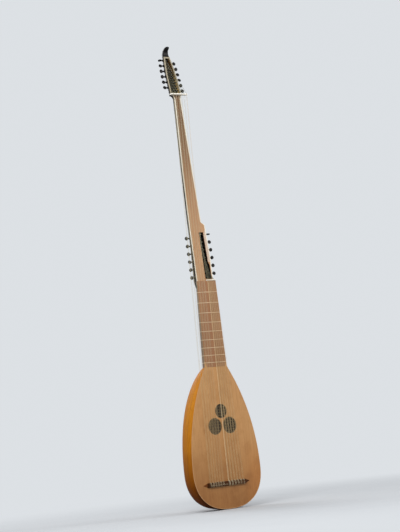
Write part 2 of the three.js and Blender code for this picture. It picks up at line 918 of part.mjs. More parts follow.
function extension() {
  const rings = extensionStations().map((station) => {
    const { left, right, depth } = extensionEdges(station);
    const core = depth - face_thickness - seat_gap;
    return backedRing(left, right, extension_core_y, core, station.z, extension_fullness);
  });
  const low = nut_z - scarf_reach - overrun;
  const neck_space = loft([neckRing(low, seat_gap), neckRing(extension_z, seat_gap)]);
  const cuts = [
    neck_space,
    ...lowerSlot(extension_face_y + lower_slot_depth),
    ...peg_numbers.map((number) => pegBore(lowerPeg(number))),
  ];
  return geometryOf(cut(solidOf(loft([scarfRing(), ...rings])), cuts));
}

// The face: a thin plate that covers the front of the extension.
function extensionFace() {
  const stations = extensionStations();
  const right = stations.map((station) => [extensionEdges(station).right, station.z]);
  const left = stations.map((station) => [extensionEdges(station).left, station.z]);
  const outline = [...right, ...left.reverse()];
  const back = extension_face_y + face_thickness;
  const sheet = solidOf(plate(outline, extension_face_y, back));
  return geometryOf(cut(sheet, lowerSlot(back + overrun)));
}

// Upper pegbox, in its own frame: z up along it, y = 0 on its face

function pegboxSlotRing(y, margin) {
  const ups = pegbox_places.map(([up]) => up);
  const turns = ups.filter((up) => up > pegbox_slot_up && up < pegbox_slot_high);
  const sides = [pegbox_slot_up, ...turns, pegbox_slot_high].map((up) => (
    { up, half: pegboxHalf(up) - pegbox_cheek + margin }
  ));
  const right = sides.map(({ up, half }) => vec(half, y, up));
  const left = sides.map(({ up, half }) => vec(-half, y, up));
  return [...right, ...left.reverse()];
}

function upperPegbox() {
  const tip_depth = pegbox_depth * pegbox_tip_depth_share;
  const rings = pegbox_places.map(([up, half]) => {
    const depth = mix(pegbox_depth, tip_depth, up / pegbox_length);
    return backedRing(-half, half, 0, depth, Math.max(up, seat_gap), back_fullness);
  });
  const cuts = [
    ...slotSpace(pegboxSlotRing, 0, pegbox_slot_depth, pegbox_bevel),
    ...peg_numbers.map((number) => pegBore(upperPeg(number))),
  ];
  return geometryOf(cut(solidOf(loft(rings)), cuts));
}

// The finial: its back arches up and forward, with its sections across the arch.
function finial() {
  const half = pegboxHalf(pegbox_length);
  const foot_depth = pegbox_depth * pegbox_tip_depth_share;
  const rings = [];
  for (let i = 0; i <= finial_steps; i += 1) {
    const share = i / finial_steps;
    const forward = Math.cos(finial_end * share);
    const rise = Math.sin(finial_end * share);
    const width = half * mix(1, finial_tip_width_share, share);
    const depth = foot_depth * mix(1, finial_tip_depth_share, share);
    const outward = vec(0, finial_height * forward, finial_reach * rise).normalize();
    const y = foot_depth - finial_reach * (1 - forward);
    const front = vec(0, y, pegbox_length + seat_gap + finial_height * rise);
    front.addScaledVector(outward, -depth);
    rings.push(backedRing(-width, width, 0, depth, 0, back_fullness).map((point) => (
      front.clone().addScaledVector(outward, point.y).setX(point.x)
    )));
  }
  return loft(rings);
}

// Nuts

function lowerNut() {
  return box(
    nut_left, nut_right, -nut_height, extension_face_y - seat_gap,
    extension_z, extension_z + nut_thickness,
  );
}

function upperNut() {
  return box(
    upper_nut_left, upper_nut_right, -upper_nut_height, extension_face_y - seat_gap,
    upper_nut_z - upper_nut_thickness / 2, upper_nut_z + upper_nut_thickness / 2,
  );
}

// Bridge

function bridgeStrings() {
  const strings = [];
  for (let course = 0; course < course_count; course += 1) {
    const share = course / (course_count - 1);
    const short = mix(bridge_first_x, bridge_last_x, share);
    const long = mix(bridge_first_long_x, bridge_last_long_x, share);
    [short, long].forEach((x) => {
      strings.push(x - bridge_pair / 2, x + bridge_pair / 2);
    });
  }
  return strings;
}

function bridge() {
  const half = bridge_width / 2;
  const tip = bridge_tip_width / 2;
  const block = box(
    bridge_left, bridge_right, -bridge_height, -seat_gap, bridge_z - half, bridge_z + half,
  );
  const ends = [
    [bridge_right + bridge_tip_reach, bridge_z - tip],
    [bridge_right + bridge_tip_reach, bridge_z + tip],
    [bridge_right, bridge_z + half], [bridge_left, bridge_z + half],
    [bridge_left - bridge_tip_reach, bridge_z + tip],
    [bridge_left - bridge_tip_reach, bridge_z - tip],
    [bridge_left, bridge_z - half], [bridge_right, bridge_z - half],
  ];
  const foot = plate(ends, -bridge_tip_height, -seat_gap);
  const radius = diapason_radius + bridge_hole_clearance;
  const holes = bridgeStrings().map((x) => {
    const length = bridge_width + overrun;
    const hole = new THREE.CylinderGeometry(radius, radius, length, bridge_hole_sides);
    hole.rotateX(Math.PI / 2);
    hole.translate(x, -bridge_hole_depth, bridge_z);
    return hole;
  });
  return geometryOf(cut(solidOf(block).add(solidOf(foot)), holes));
}

// Strings: from a winding on one peg over the nut, through the bridge, round
// behind it, and back to the winding on the next peg

const pegbox_frame = new THREE.Matrix4().makeRotationX(-pegbox_lean);
pegbox_frame.setPosition(pegbox_x, extension_face_y, upper_nut_z + upper_nut_thickness / 2);

// The points of a winding, from where the string meets the peg to its free end.
// It is worked out in the pegbox's own frame, from the point where the string
// leaves the nut.
function winding(place, x, nut, radius, edge) {
  const distance = Math.abs(place.edge - x);
  const around = shaftRadius(distance) + winding_clearance + radius;
  const turn = around / Math.cos(Math.PI / winding_steps);
  const dy = nut.y - place.y;
  const dz = nut.z - place.z;
  const towards = Math.atan2(dz, dy);
  const meet = towards - Math.acos(turn / Math.hypot(dy, dz));
  const pitch = 2 * radius + winding_gap;
  const points = [];
  const count = Math.round(winding_turns * winding_steps);
  for (let i = 0; i <= count; i += 1) {
    const angle = meet - 2 * Math.PI * i / winding_steps;
    const along_peg = x + edge * pitch * i / winding_steps;
    const y = place.y + turn * Math.cos(angle);
    points.push(vec(along_peg, y, place.z + turn * Math.sin(angle)));
  }
  return points;
}

let least_gap = Infinity;

// Keeps the least gap between the turns of a winding, measured on its points.
function measureGap(points, radius) {
  points.forEach((point, i) => {
    points.slice(i + winding_steps / 2).forEach((other) => {
      least_gap = Math.min(least_gap, point.distanceTo(other) - 2 * radius);
    });
  });
}

function stringHalf(set, number, nut_x, bridge_x) {
  const up = -set.radius - seat_gap;
  const low = set.nut_low;
  const high = set.nut_high;
  const over = [vec(nut_x, set.nut_y + up, low), vec(nut_x, set.nut_y + up, high)];
  const place = set.peg(number);
  const nut = over[1].clone().applyMatrix4(set.frame.clone().invert());
  const share = number / (2 * course_count - 1);
  const x = mix(set.winding_near, set.winding_far, share);
  const points = winding(place, x, nut, set.radius, place.sign);
  measureGap(points, set.radius);
  const wound = points.map((point) => point.applyMatrix4(set.frame));
  const front = bridge_z + bridge_width / 2 + seat_gap;
  const back = bridge_z - bridge_width / 2 - overrun / 2;
  const through = [front, back].map((z) => vec(bridge_x, -bridge_hole_depth, z));
  return [...wound.reverse(), ...over.reverse(), ...through];
}

// The turn behind the bridge that joins the two strings of a course.
function bridgeTurn(left, right) {
  const points = [];
  const radius = (right.x - left.x) / 2;
  for (let i = 1; i < turn_steps; i += 1) {
    const angle = Math.PI * i / turn_steps;
    const x = left.x + radius * (1 - Math.cos(angle));
    points.push(vec(x, left.y, left.z - radius * Math.sin(angle)));
  }
  return points;
}

function course(set, number) {
  const share = number / (course_count - 1);
  const nut_x = mix(set.nut_first, set.nut_last, share);
  const bridge_x = mix(set.bridge_first, set.bridge_last, share);
  const [left_peg, right_peg] = set.pegs(number);
  const left = stringHalf(set, left_peg, nut_x - nut_pair / 2, bridge_x - bridge_pair / 2);
  const right = stringHalf(set, right_peg, nut_x + nut_pair / 2, bridge_x + bridge_pair / 2);
  const bend = bridgeTurn(left[left.length - 1], right[right.length - 1]);
  return tube([...left, ...bend, ...right.reverse()], set.radius, string_sides);
}

const stopped_set = {
  radius: string_radius,
  nut_y: -nut_height,
  nut_low: extension_z,
  nut_high: extension_z + nut_thickness,
  nut_first: nut_first_x,
  nut_last: nut_last_x,
  bridge_first: bridge_first_x,
  bridge_last: bridge_last_x,
  winding_near: lower_winding_near,
  winding_far: lower_winding_far,
  peg: lowerPeg,
  pegs: (number) => [2 * number + 1, 2 * number],
  frame: new THREE.Matrix4(),
};

const diapason_set = {
  radius: diapason_radius,
  nut_y: -upper_nut_height,
  nut_low: upper_nut_z - upper_nut_thickness / 2,
  nut_high: upper_nut_z + upper_nut_thickness / 2,
  nut_first: upper_nut_first_x,
  nut_last: upper_nut_last_x,
  bridge_first: bridge_first_long_x,
  bridge_last: bridge_last_long_x,
  winding_near: upper_winding_near,
  winding_far: upper_winding_far,
  peg: upperPeg,
  pegs: (number) => {
    const far = 2 * (course_count - number) - 1;
    return [far - 1, far];
  },
  frame: pegbox_frame,
};

// Assembly

const theorbo = new THREE.Group();
const instrument = new THREE.Group();
theorbo.add(instrument);

function add(parent, name, geometry, look) {
  const flat = geometry.index ? geometry : mergeVertices(geometry);
  flat.computeVertexNormals();
  const mesh = new THREE.Mesh(flat, look);
  mesh.name = name;
  parent.add(mesh);
  return mesh;
}

add(instrument, "bowl", bowl(), rib_wood);
add(instrument, "end_clasp", endClasp(), rib_wood);
add(instrument, "soundboard", soundboard(), spruce);
add(instrument, "rose", rose(), rose_wood);
add(instrument, "bridge", bridge(), bridge_wood);
add(instrument, "neck_block", neckBlock(), block_wood);
add(instrument, "neck_nail", neckNail(), iron);
add(instrument, "neck", neck(), neck_wood);
add(instrument, "fingerboard", fingerboard(), fingerboard_wood);
add(instrument, "extension", extension(), ebony);
add(instrument, "extension_face", extensionFace(), face_wood);
add(instrument, "lower_nut", lowerNut(), bone);
add(instrument, "upper_nut", upperNut(), bone);

const pegbox = new THREE.Group();
pegbox.applyMatrix4(pegbox_frame);
instrument.add(pegbox);
add(pegbox, "upper_pegbox", upperPegbox(), ebony);
add(pegbox, "finial", finial(), ebony);

peg_numbers.forEach((number) => {
  const low = lowerPeg(number);
  const lower = add(instrument, `lower_peg_${number + 1}`, peg(low, number), ebony);
  lower.position.set(low.edge, low.y, low.z);
  const high = upperPeg(number);
  const upper = add(pegbox, `upper_peg_${number + 1}`, peg(high, number), ebony);
  upper.position.set(high.edge, high.y, high.z);
});

for (let number = 1; number <= fret_count; number += 1) {
  add(instrument, `fret_${number}`, fret(number), gut);
}

for (let number = 0; number < course_count; number += 1) {
  add(instrument, `course_${number + 1}`, course(stopped_set, number), gut);
  const long = number + 1 + course_count;
  add(instrument, `course_${long}`, course(diapason_set, number), gut);
}

// The origin goes to the middle of the base.
theorbo.updateMatrixWorld(true);
const bounds = new THREE.Box3().setFromObject(theorbo, true);
const middle = bounds.getCenter(vec(0, 0, 0));
instrument.position.set(-middle.x, -middle.y, -bounds.min.z);
theorbo.updateMatrixWorld(true);

console.log(`least gap between the turns of a winding: ${least_gap.toFixed(2)} mm`);

export default theorbo;
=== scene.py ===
# %% [markdown]
# # A theorbo, piece by piece
# A theorbo is a bass lute with a very long neck. Its lower pegbox tunes the strings
# that are stopped on the fingerboard, and its upper one the long open strings. This
# lesson dresses a finished frame: every piece takes its place from the frame, gets a
# finish made of nodes, and then the round, worn shape of the real one.

# %% The frame
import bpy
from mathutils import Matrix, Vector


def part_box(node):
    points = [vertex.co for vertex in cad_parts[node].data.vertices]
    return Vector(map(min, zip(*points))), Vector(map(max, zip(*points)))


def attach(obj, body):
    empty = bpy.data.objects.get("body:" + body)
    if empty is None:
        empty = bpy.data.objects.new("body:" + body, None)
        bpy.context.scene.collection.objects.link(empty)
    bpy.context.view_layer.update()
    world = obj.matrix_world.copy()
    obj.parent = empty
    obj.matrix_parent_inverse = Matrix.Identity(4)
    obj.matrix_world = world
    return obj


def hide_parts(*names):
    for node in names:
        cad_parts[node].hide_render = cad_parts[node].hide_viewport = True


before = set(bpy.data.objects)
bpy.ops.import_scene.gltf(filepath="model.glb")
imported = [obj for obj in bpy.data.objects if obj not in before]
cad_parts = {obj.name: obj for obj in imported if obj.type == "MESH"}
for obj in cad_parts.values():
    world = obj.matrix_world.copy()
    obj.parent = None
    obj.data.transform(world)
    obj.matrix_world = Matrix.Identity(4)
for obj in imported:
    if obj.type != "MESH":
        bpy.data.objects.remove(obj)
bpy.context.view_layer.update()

# %% What the lesson uses
import math
from collections import namedtuple

import bmesh
import bpy
from mathutils import Matrix, Vector

mm = 0.001


def placed(name, data):
    """An object with its data, linked into the scene."""
    thing = bpy.data.objects.new(name, data)
    bpy.context.scene.collection.objects.link(thing)
    return thing


print("one unit is a metre, and mm is", mm)

# %% [markdown]
# ## Where the camera stands
# The picture was taken from the bass side, low down, with a long lens, which keeps the
# long neck from shrinking towards its tip. A camera could track a target, but its roll
# would then be a guess. Here its matrix is made of the three directions it looks along.

# %% Camera
face_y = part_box("soundboard")[0].y
camera_place = Vector((-4.9285, face_y - 6.2737, 0.2976))
camera_ahead = Vector((0.6127, 0.7842, 0.0980)).normalized()
camera_right = Vector((0.7899, -0.6034, -0.1094))
camera_lens = 121.6
sensor_side = 36

camera_right = (camera_right - camera_right.dot(camera_ahead) * camera_ahead).normalized()
camera_up = camera_right.cross(camera_ahead)
camera_data = bpy.data.cameras.new("camera")
camera_data.lens = camera_lens
camera_data.sensor_width = sensor_side
camera = placed("camera", camera_data)
camera.matrix_world = Matrix((camera_right, camera_up, -camera_ahead)).transposed().to_4x4()
camera.matrix_world.translation = camera_place
bpy.context.scene.camera = camera
print("camera stands", round(camera_place.length, 2), "m away")

# %% [markdown]
# ## Lamps
# Large lamps give the soft light of a studio: one from above in front, a weaker one
# from the right that fills the shadows, and one from behind that draws the edges. The
# standard view transform shows a colour about as it is written.

# %% Lamps
bpy.context.scene.view_settings.view_transform = "Standard"
lamp_aim = Vector((0, 0, 1))


def lamp(name, place, side, power):
    """A square soft lamp that looks at the middle of the instrument."""
    data = bpy.data.lights.new(name, "AREA")
    data.size = side
    data.energy = power
    thing = placed(name, data)
    thing.location = place
    thing.rotation_euler = (lamp_aim - Vector(place)).to_track_quat("-Z", "Y").to_euler()


lamp("key", (-3.4, -3.2, 3.6), 2.6, 215)
lamp("fill", (3.2, -3.6, 2.2), 3.0, 85)
lamp("rim", (0.6, 3.6, 2.8), 2.4, 75)
print("lamps:", len(bpy.data.lights))

# %% [markdown]
# ## Nets of nodes
# A finish is a net of nodes, and most of it is arithmetic. The small class below wraps
# an output socket, so that `1 - mask` or `grain * 0.3` adds the Math node it needs. One
# method adds any other node: its settings first, then its sockets, each of which takes
# a value or a wire.

# %% Wires
class Wire:
    """An output socket that takes part in sums, each of which adds a Math node."""

    def __init__(self, net, socket):
        self.net = net
        self.socket = socket

    def sum(self, operation, *values):
        settings = {"operation": operation}
        return self.net.node("ShaderNodeMath", settings, dict(enumerate(values)))

    def __add__(self, other):
        return self.sum("ADD", self, other)

    def __radd__(self, other):
        return self.sum("ADD", other, self)

    def __sub__(self, other):
        return self.sum("SUBTRACT", self, other)

    def __rsub__(self, other):
        return self.sum("SUBTRACT", other, self)

    def __mul__(self, other):
        return self.sum("MULTIPLY", self, other)

    def __rmul__(self, other):
        return self.sum("MULTIPLY", other, self)

    def ramp(self, low, high):
        """0 where the value is at low, 1 where it is at high, smooth between."""
        settings = {"interpolation_type": "SMOOTHSTEP"}
        sockets = {"Value": self, "From Min": low, "From Max": high}
        return self.net.node("ShaderNodeMapRange", settings, sockets)


print("sockets can be added, subtracted and multiplied")

# %% Nets
class Net:
    """A tree of nodes."""

    def __init__(self, tree):
        self.tree = tree

    def node(self, kind, settings=None, sockets=None, output=0):
        made = self.tree.nodes.new(kind)
        for name, value in (settings or {}).items():
            setattr(made, name, value)
        for key, value in (sockets or {}).items():
            self.feed(made.inputs[key], value)
        return Wire(self, made.outputs[output])

    def feed(self, socket, value):
        if isinstance(value, Wire):
            self.tree.links.new(value.socket, socket)
        else:
            socket.default_value = value

    def shows_either(self, output, share, first, second):
        """The first shader where a share is 0, and the second where it is 1."""
        mixed = self.node("ShaderNodeMixShader", None, {0: share, 1: first, 2: second})
        self.feed(self.tree.nodes[output].inputs["Surface"], mixed)


print("a net takes any node")

# %% [markdown]
# ## The world
# The world lights the object from all round, a little cool. The camera sees another,
# paler shader in its place, so the backdrop's tone and its light are set apart.

# %% World
world = bpy.data.worlds.new("studio")
world.use_nodes = True
backdrop = (0.72, 0.75, 0.78, 1)
world_tone = (0.93, 0.94, 0.96, 1)
world_strength = 0.62
studio = Net(world.node_tree)
world_light = studio.node(
    "ShaderNodeBackground", None, {"Color": world_tone, "Strength": world_strength})
world_seen = studio.node("ShaderNodeBackground", None, {"Color": backdrop})
world_rays = studio.node("ShaderNodeLightPath", output="Is Camera Ray")
studio.shows_either("World Output", world_rays, world_light, world_seen)
bpy.context.scene.world = world
print("world strength", world_strength)

# %% [markdown]
# ## Finishes
# A finish is a material with one Principled shader. Its marks are masks of place, and
# each multiplies the colour, which is easier to mend than a painted picture. Colours
# go through Mix and Vector Math, because a Math node would turn them grey.

# %% Finishes
def paint(red, green, blue):
    """A colour as it is seen on a screen, 0 to 255, in the numbers a shader takes."""
    shares = [value / 255 for value in (red, green, blue)]
    linear = [s / 12.92 if s <= 0.04045 else ((s + 0.055) / 1.055) ** 2.4 for s in shares]
    return (*linear, 1)


class Finish(Net):
    """A material: one Principled shader and the nodes that feed it."""

    def __init__(self, name, **fixed):
        self.material = bpy.data.materials.new(name)
        self.material.use_nodes = True
        super().__init__(self.material.node_tree)
        self.shader = self.tree.nodes["Principled BSDF"]
        for socket, value in fixed.items():
            self.shader.inputs[socket.replace("_", " ")].default_value = value
        self.place = self.node("ShaderNodeTexCoord", output="Object")

    def shows(self, name, value):
        self.feed(self.shader.inputs[name], value)

    def axis(self, letter, place=None):
        sockets = {"Vector": place or self.place}
        return self.node("ShaderNodeSeparateXYZ", None, sockets, letter)

    def mask(self, letter, low, high):
        """0 at one place along x, y or z and 1 at the other, in metres."""
        return self.axis(letter).ramp(low, high)

    def times(self, value, factors):
        settings = {"operation": "MULTIPLY"}
        return self.node("ShaderNodeVectorMath", settings, {0: value, 1: factors})

    def noise(self, scales, detail=3, roughness=0.55):
        sockets = {"Vector": self.times(self.place, scales), "Scale": 1.0,
                   "Detail": detail, "Roughness": roughness}
        return self.node("ShaderNodeTexNoise", None, sockets)

    def between(self, share, first, second):
        """The colour at a share of the way from the first to the second."""
        sockets = {0: share, 6: first, 7: second}
        return self.node("ShaderNodeMix", {"data_type": "RGBA"}, sockets, 2)

    def stained_or_lit(self, mask, colour):
        """Multiplies the finish by a colour where a mask is 1, as age and hands do, or as
        painted shade and painted sheen do.
        """
        self.tone = self.between(mask, self.tone, self.times(self.tone, colour))
        self.shows("Base Color", self.tone)


print("a finish can be made of nodes")

# %% [markdown]
# ## The floor
# A wide plain sheet, a little mottled so that it isn't dead flat. Near the instrument
# it takes the shadow. Farther out it fades into the backdrop's own colour, so that no
# line shows where the two meet. Light that bounces off it finds it darker than the
# eye does, or it would brighten the underside of the bowl.

# %% Floor
floor_paper = Finish("floor_paper", Roughness=0.9)
floor_rays = floor_paper.node("ShaderNodeLightPath", output="Is Camera Ray")
floor_tone = floor_paper.between(
    floor_paper.noise((3, 3, 3)), paint(180, 184, 188), paint(188, 191, 194))
bounce_tone = paint(120, 122, 124)
floor_paper.shows("Base Color", floor_paper.between(floor_rays, bounce_tone, floor_tone))

fade_start, fade_end = 0.9, 3.2
floor_flat = floor_paper.times(floor_paper.place, (1, 1, 0))
floor_distance = floor_paper.node(
    "ShaderNodeVectorMath", {"operation": "LENGTH"}, {0: floor_flat}, "Value")
floor_share = floor_distance.ramp(fade_start, fade_end) * floor_rays
floor_own = Wire(floor_paper, floor_paper.shader.outputs[0])
floor_glow = floor_paper.node("ShaderNodeEmission", None, {"Color": backdrop})
floor_paper.shows_either("Material Output", floor_share, floor_own, floor_glow)
print("floor fades over", round(fade_end - fade_start, 1), "m")

# %% Floor sheet
floor_reach = 30
floor_mesh = bpy.data.meshes.new("floor")
floor_corners = [(x * floor_reach, y * floor_reach, 0)
                 for x, y in ((-1, -1), (1, -1), (1, 1), (-1, 1))]
floor_mesh.from_pydata(floor_corners, [], [(0, 1, 2, 3)])
floor_mesh.materials.append(floor_paper.material)
floor = placed("floor", floor_mesh)
print("floor reaches", floor_reach, "m each way")

# %% [markdown]
# ## One recipe for wood, bone and gut
# Every finish of the instrument is one recipe with other numbers. Fibres are noise that
# is stretched far along the grain, fine pores are the same with a tighter weave, and
# slow clouds give the patches where hands and light have changed the colour.

# %% Recipe
fine_scale = 3.1
line_share = 0.6
grain_share = 0.75


def wood(name, dark, light, fibre, cloud=(6, 6, 2), gloss=(0.35, 0.5), contrast=0.5,
         bump=0.00006, **fixed):
    """fibre is how often the lines come in x, y and z, per metre. gloss is roughness."""
    made = Finish(name, **{"Specular_IOR_Level": 0.3, **fixed})
    lines = made.noise(fibre, 5, 0.65)
    fine = made.noise([fine_scale * scale for scale in fibre], 2)
    slow = made.noise(cloud, 2).ramp(0.3, 0.7)
    grain = lines * line_share + fine * (1 - line_share)
    grain = grain.ramp(0.5 - contrast / 2, 0.5 + contrast / 2)
    share = grain * grain_share + slow * (1 - grain_share)
    made.tone = made.between(share, paint(*dark), paint(*light))
    made.shows("Base Color", made.tone)
    made.shows("Roughness", gloss[0] + (gloss[1] - gloss[0]) * grain)
    bumps = {"Height": grain, "Distance": bump}
    made.shows("Normal", made.node("ShaderNodeBump", None, bumps))
    return made


print("recipe ready")

# %% [markdown]
# ## Making a piece
# A skin over rings of points gives most pieces of an instrument, because nearly all of
# them are drawn out along one line. The mesh then becomes an object with its finish,
# and rides on the body of the frame that it moves with.

# %% Skins
def mix(a, b, share):
    return a + (b - a) * share


def steps(count):
    """Shares from 0 to 1 in equal steps."""
    return [i / count for i in range(count + 1)]


def loft(rings, closed=False):
    """A skin over rings of equally many points, with ends or closed to a loop."""
    size = len(rings[0])
    points = [tuple(point) for ring in rings for point in ring]
    faces = []
    for row in range(len(rings) if closed else len(rings) - 1):
        low, high = row * size, (row + 1) % len(rings) * size
        for i in range(size):
            j = (i + 1) % size
            faces.append((low + i, low + j, high + j, high + i))
    if not closed:
        faces.append(tuple(range(size)))
        faces.append(tuple(range(len(points) - size, len(points))))
    mesh = bpy.data.meshes.new("work")
    mesh.from_pydata(points, [], faces)
    return mesh


def joined(meshes):
    """One mesh of several."""
    work = bmesh.new()
    for mesh in meshes:
        work.from_mesh(mesh)
    out = bpy.data.meshes.new("work")
    work.to_mesh(out)
    work.free()
    return out


print("skins ready")

# %% Pieces
def tidied(mesh):
    """Welds doubled points and turns all faces outwards."""
    work = bmesh.new()
    work.from_mesh(mesh)
    bmesh.ops.remove_doubles(work, verts=work.verts, dist=1e-6)
    bmesh.ops.recalc_face_normals(work, faces=work.faces)
    work.to_mesh(mesh)
    work.free()


def piece(name, mesh, finish, stands_for, body="instrument", sharp=35):
    """An object of a mesh that rides on a body and stands for nodes of the frame."""
    mesh.name = name
    tidied(mesh)
    mesh.polygons.foreach_set("use_smooth", [True] * len(mesh.polygons))
    mesh.set_sharp_from_angle(angle=math.radians(sharp))
    mesh.materials.clear()
    mesh.materials.append(finish.material)
    thing = placed(name, mesh)
    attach(thing, body)
    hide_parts(*stands_for)
    return thing


def rounded(thing, width):
    """Breaks the sharp edges of a piece as a file or plane would."""
    edge = thing.modifiers.new("edge", "BEVEL")
    edge.width = width
    edge.segments = 2
    edge.limit_method = "ANGLE"
    edge.angle_limit = math.radians(40)


print("pieces can be made")

# %% [markdown]
# ## Cords, sheets and cuts
# A cord is a row of rings along its route. Each ring turns on from the one before it by
# no more than the route turns, so the cord isn't twisted. A flat sheet with holes is
# drawn fastest as a filled curve, and a Boolean that is applied at once cuts a bore.

# %% Cords
def oval(middle, first, second, count=24):
    """A ring round a point, spanned by two vectors that stand square to each other."""
    angles = [2 * math.pi * k / count for k in range(count)]
    return [middle + math.cos(a) * first + math.sin(a) * second for a in angles]


def sweep(points, radius, sides=8, closed=False):
    """A round cord along points."""
    count = len(points)
    rings = []
    side = before = None
    for i, point in enumerate(points):
        back = points[i - 1] if i or closed else point
        ahead = points[(i + 1) % count] if i + 1 < count or closed else point
        along = (ahead - back).normalized()
        if side is None:
            start = Vector((1, 0, 0)) if abs(along.z) > 0.9 else Vector((0, 0, 1))
            side = (start - start.dot(along) * along).normalized()
        else:
            side = before.rotation_difference(along) @ side
        before = along
        rings.append(oval(point, radius * side, radius * along.cross(side), sides))
    return loft(rings, closed)


print("cords can be drawn")

# %% Sheets and cuts
def evaluated(thing):
    """The mesh that an object shows, its fill or its modifiers applied."""
    bpy.context.view_layer.update()
    seen = thing.evaluated_get(bpy.context.evaluated_depsgraph_get())
    return bpy.data.meshes.new_from_object(seen)


def plate(outline, holes, front, back):
    """A flat sheet between two depths, drawn in x and z, with holes."""
    drawing = bpy.data.curves.new("drawing", "CURVE")
    drawing.dimensions = "2D"
    drawing.fill_mode = "BOTH"
    drawing.extrude = (back - front) / 2
    for ring in [outline, *holes]:
        spline = drawing.splines.new("POLY")
        spline.points.add(len(ring) - 1)
        for point, (x, z) in zip(spline.points, ring):
            point.co = (x, z, 0, 1)
        spline.use_cyclic_u = True
    mesh = evaluated(placed("drawing", drawing))
    bpy.data.curves.remove(drawing)
    mesh.transform(Matrix.Rotation(math.pi / 2, 4, "X"))
    mesh.transform(Matrix.Translation((0, (front + back) / 2, 0)))
    return mesh


def carved(mesh, cutters):
    """A mesh less its cutters."""
    tool_mesh = joined(cutters)
    tidied(mesh)
    tidied(tool_mesh)
    whole, tool = placed("whole", mesh), placed("tool", tool_mesh)
    change = whole.modifiers.new("carve", "BOOLEAN")
    change.operation = "DIFFERENCE"
    change.solver = "EXACT"
    change.use_self = True
    change.object = tool
    out = evaluated(whole)
    for thing in (whole, tool):
        bpy.data.objects.remove(thing)
    return out


print("sheets and cuts ready")

# %% [markdown]
# ## The outline of the body
# The soundboard ends in a full round below, and its flanks are arcs of one large
# circle up to the neck. Every body piece is drawn from the same two curves, set in by
# its own amount.

# %% Body outline
board_low, board_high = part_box("soundboard")
bowl_low, bowl_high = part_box("bowl")
neck_low, neck_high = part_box("neck")
foot_z = board_low.z
joint_z = board_high.z
rim_y = bowl_low.y
half_body = board_high.x
half_root = neck_high.x
widest_z = foot_z + 175 * mm
tail_fullness = 2.4
tail_steps, flank_steps = 40, 30


def fuller(angle, fullness):
    """The cosine and sine of an angle on a round that is fuller than a circle's."""
    power = 2 / fullness
    across = math.copysign(abs(math.cos(angle)) ** power, math.cos(angle))
    return across, max(0, math.sin(angle)) ** power


def flank(z, inset=0):
    """Half the width of the body above its widest place."""
    drop = half_body - half_root
    rise = joint_z - widest_z
    radius = (rise ** 2 + drop ** 2) / (2 * drop)
    return half_body - radius + math.sqrt((radius - inset) ** 2 - (z - widest_z) ** 2)


def body_station(turn, inset):
    """Half width and height, at -1 the tail, 0 the widest place and 1 the neck."""
    if turn >= 0:
        z = mix(widest_z, joint_z, turn)
        return flank(z, inset), z
    down, out = fuller(math.pi / 2 * (1 + turn), tail_fullness)
    return (half_body - inset) * out, widest_z - (widest_z - foot_z - inset) * down


def body_side(inset):
    """The soundboard's right side as x and z, from the tail to the neck."""
    turns = [share - 1 for share in steps(tail_steps)] + steps(flank_steps)[1:]
    return [body_station(turn, inset) for turn in turns]


def mirrored(side):
    """The places of a right side, and then those of the left one, back to the start."""
    return side + [(-x, z) for x, z in reversed(side) if x]


print("body is", round(2 * half_body, 3), "m wide and", round(joint_z - foot_z, 3), "long")

# %% Depth of the bowl
bowl_fullness = 2.15
back_power = 3.75
shoulder_power = 1.5
tail_power = 0.533
deepest = bowl_high.y - rim_y
root_depth = neck_high.y - rim_y


def bowl_depth(z, half, inset=0):
    """How deep the round back is behind its rim, where it has this half width."""
    if z <= widest_z:
        return (deepest - inset) * (half / (half_body - inset)) ** tail_power
    share = min(1, (z + inset - widest_z) / (joint_z - widest_z))
    rise = max(0, 1 - share ** back_power) ** (1 / shoulder_power)
    return mix(root_depth, deepest, rise) - inset


def bowl_point(turn, angle, inset=0):
    """A point of the round back, inset from its outside."""
    half, z = body_station(turn, inset)
    across, behind = fuller(angle, bowl_fullness)
    return Vector((half * across, rim_y + bowl_depth(z, half, inset) * behind, z))


print("bowl is", round(deepest, 3), "m deep")

# %% [markdown]
# ## The varnish of the ribs
# The ribs are a golden wood under thin varnish. Towards the tail they are painted deep
# brown, which is painted shade under the bowl, and low down beside the soundboard they
# are painted greyer, which is painted shade where no side light reaches. Both marks are
# masks of place, so they run on from rib to rib.

# %% Rib wood
rib_wood = wood("rib_wood", (164, 95, 9), (215, 141, 30), (150, 150, 6),
                gloss=(0.46, 0.56), Specular_IOR_Level=0.04)
# Painted shade: the ribs darken towards the tail, for the shade under the bowl.
rib_wood.stained_or_lit(rib_wood.mask("Z", 0.37, 0.01), (0.38, 0.23, 0.10))
# Painted shade: greyer and darker low down beside the soundboard.
shade_by_the_board = rib_wood.mask("Y", -0.048, -0.078) * rib_wood.mask("Z", 0.17, 0.06)
rib_wood.stained_or_lit(shade_by_the_board, (0.6, 0.62, 0.7))
joint_wood = wood("joint_wood", (66, 34, 6), (100, 56, 14), (300, 300, 9))
print("finishes of the bowl: 2")

# %% [markdown]
# ## The ribs of the bowl
# The back is a shell of seventeen thin ribs, bent over a mould and glued edge to edge.
# One smooth shell would be quicker, but light breaks at every joint of the real one.
# So each rib is its own strip, nearly flat across and a little full in the middle. The
# rings lie closer together towards the tail and the neck, where the shell bends most.

# %% Ribs
rib_count = 17
rib_thickness = 1.8 * mm
rib_across = 6
rib_fullness = 0.55
tail_start = 0.002
ring_steps = 30
ring_crowding = 1.6
bowl_turns = [mix(tail_start, 1, share ** ring_crowding) - 1 for share in steps(ring_steps)]
bowl_turns += [math.sin(math.pi / 2 * share) for share in steps(ring_steps)[1:]]


def rib_point(turn, rib, share, inset=0):
    """A point across a rib: between the straight chord and the round."""
    first = bowl_point(turn, math.pi * rib / rib_count, inset)
    last = bowl_point(turn, math.pi * (rib + 1) / rib_count, inset)
    bent = bowl_point(turn, math.pi * (rib + share) / rib_count, inset)
    return first.lerp(last, share).lerp(bent, rib_fullness)


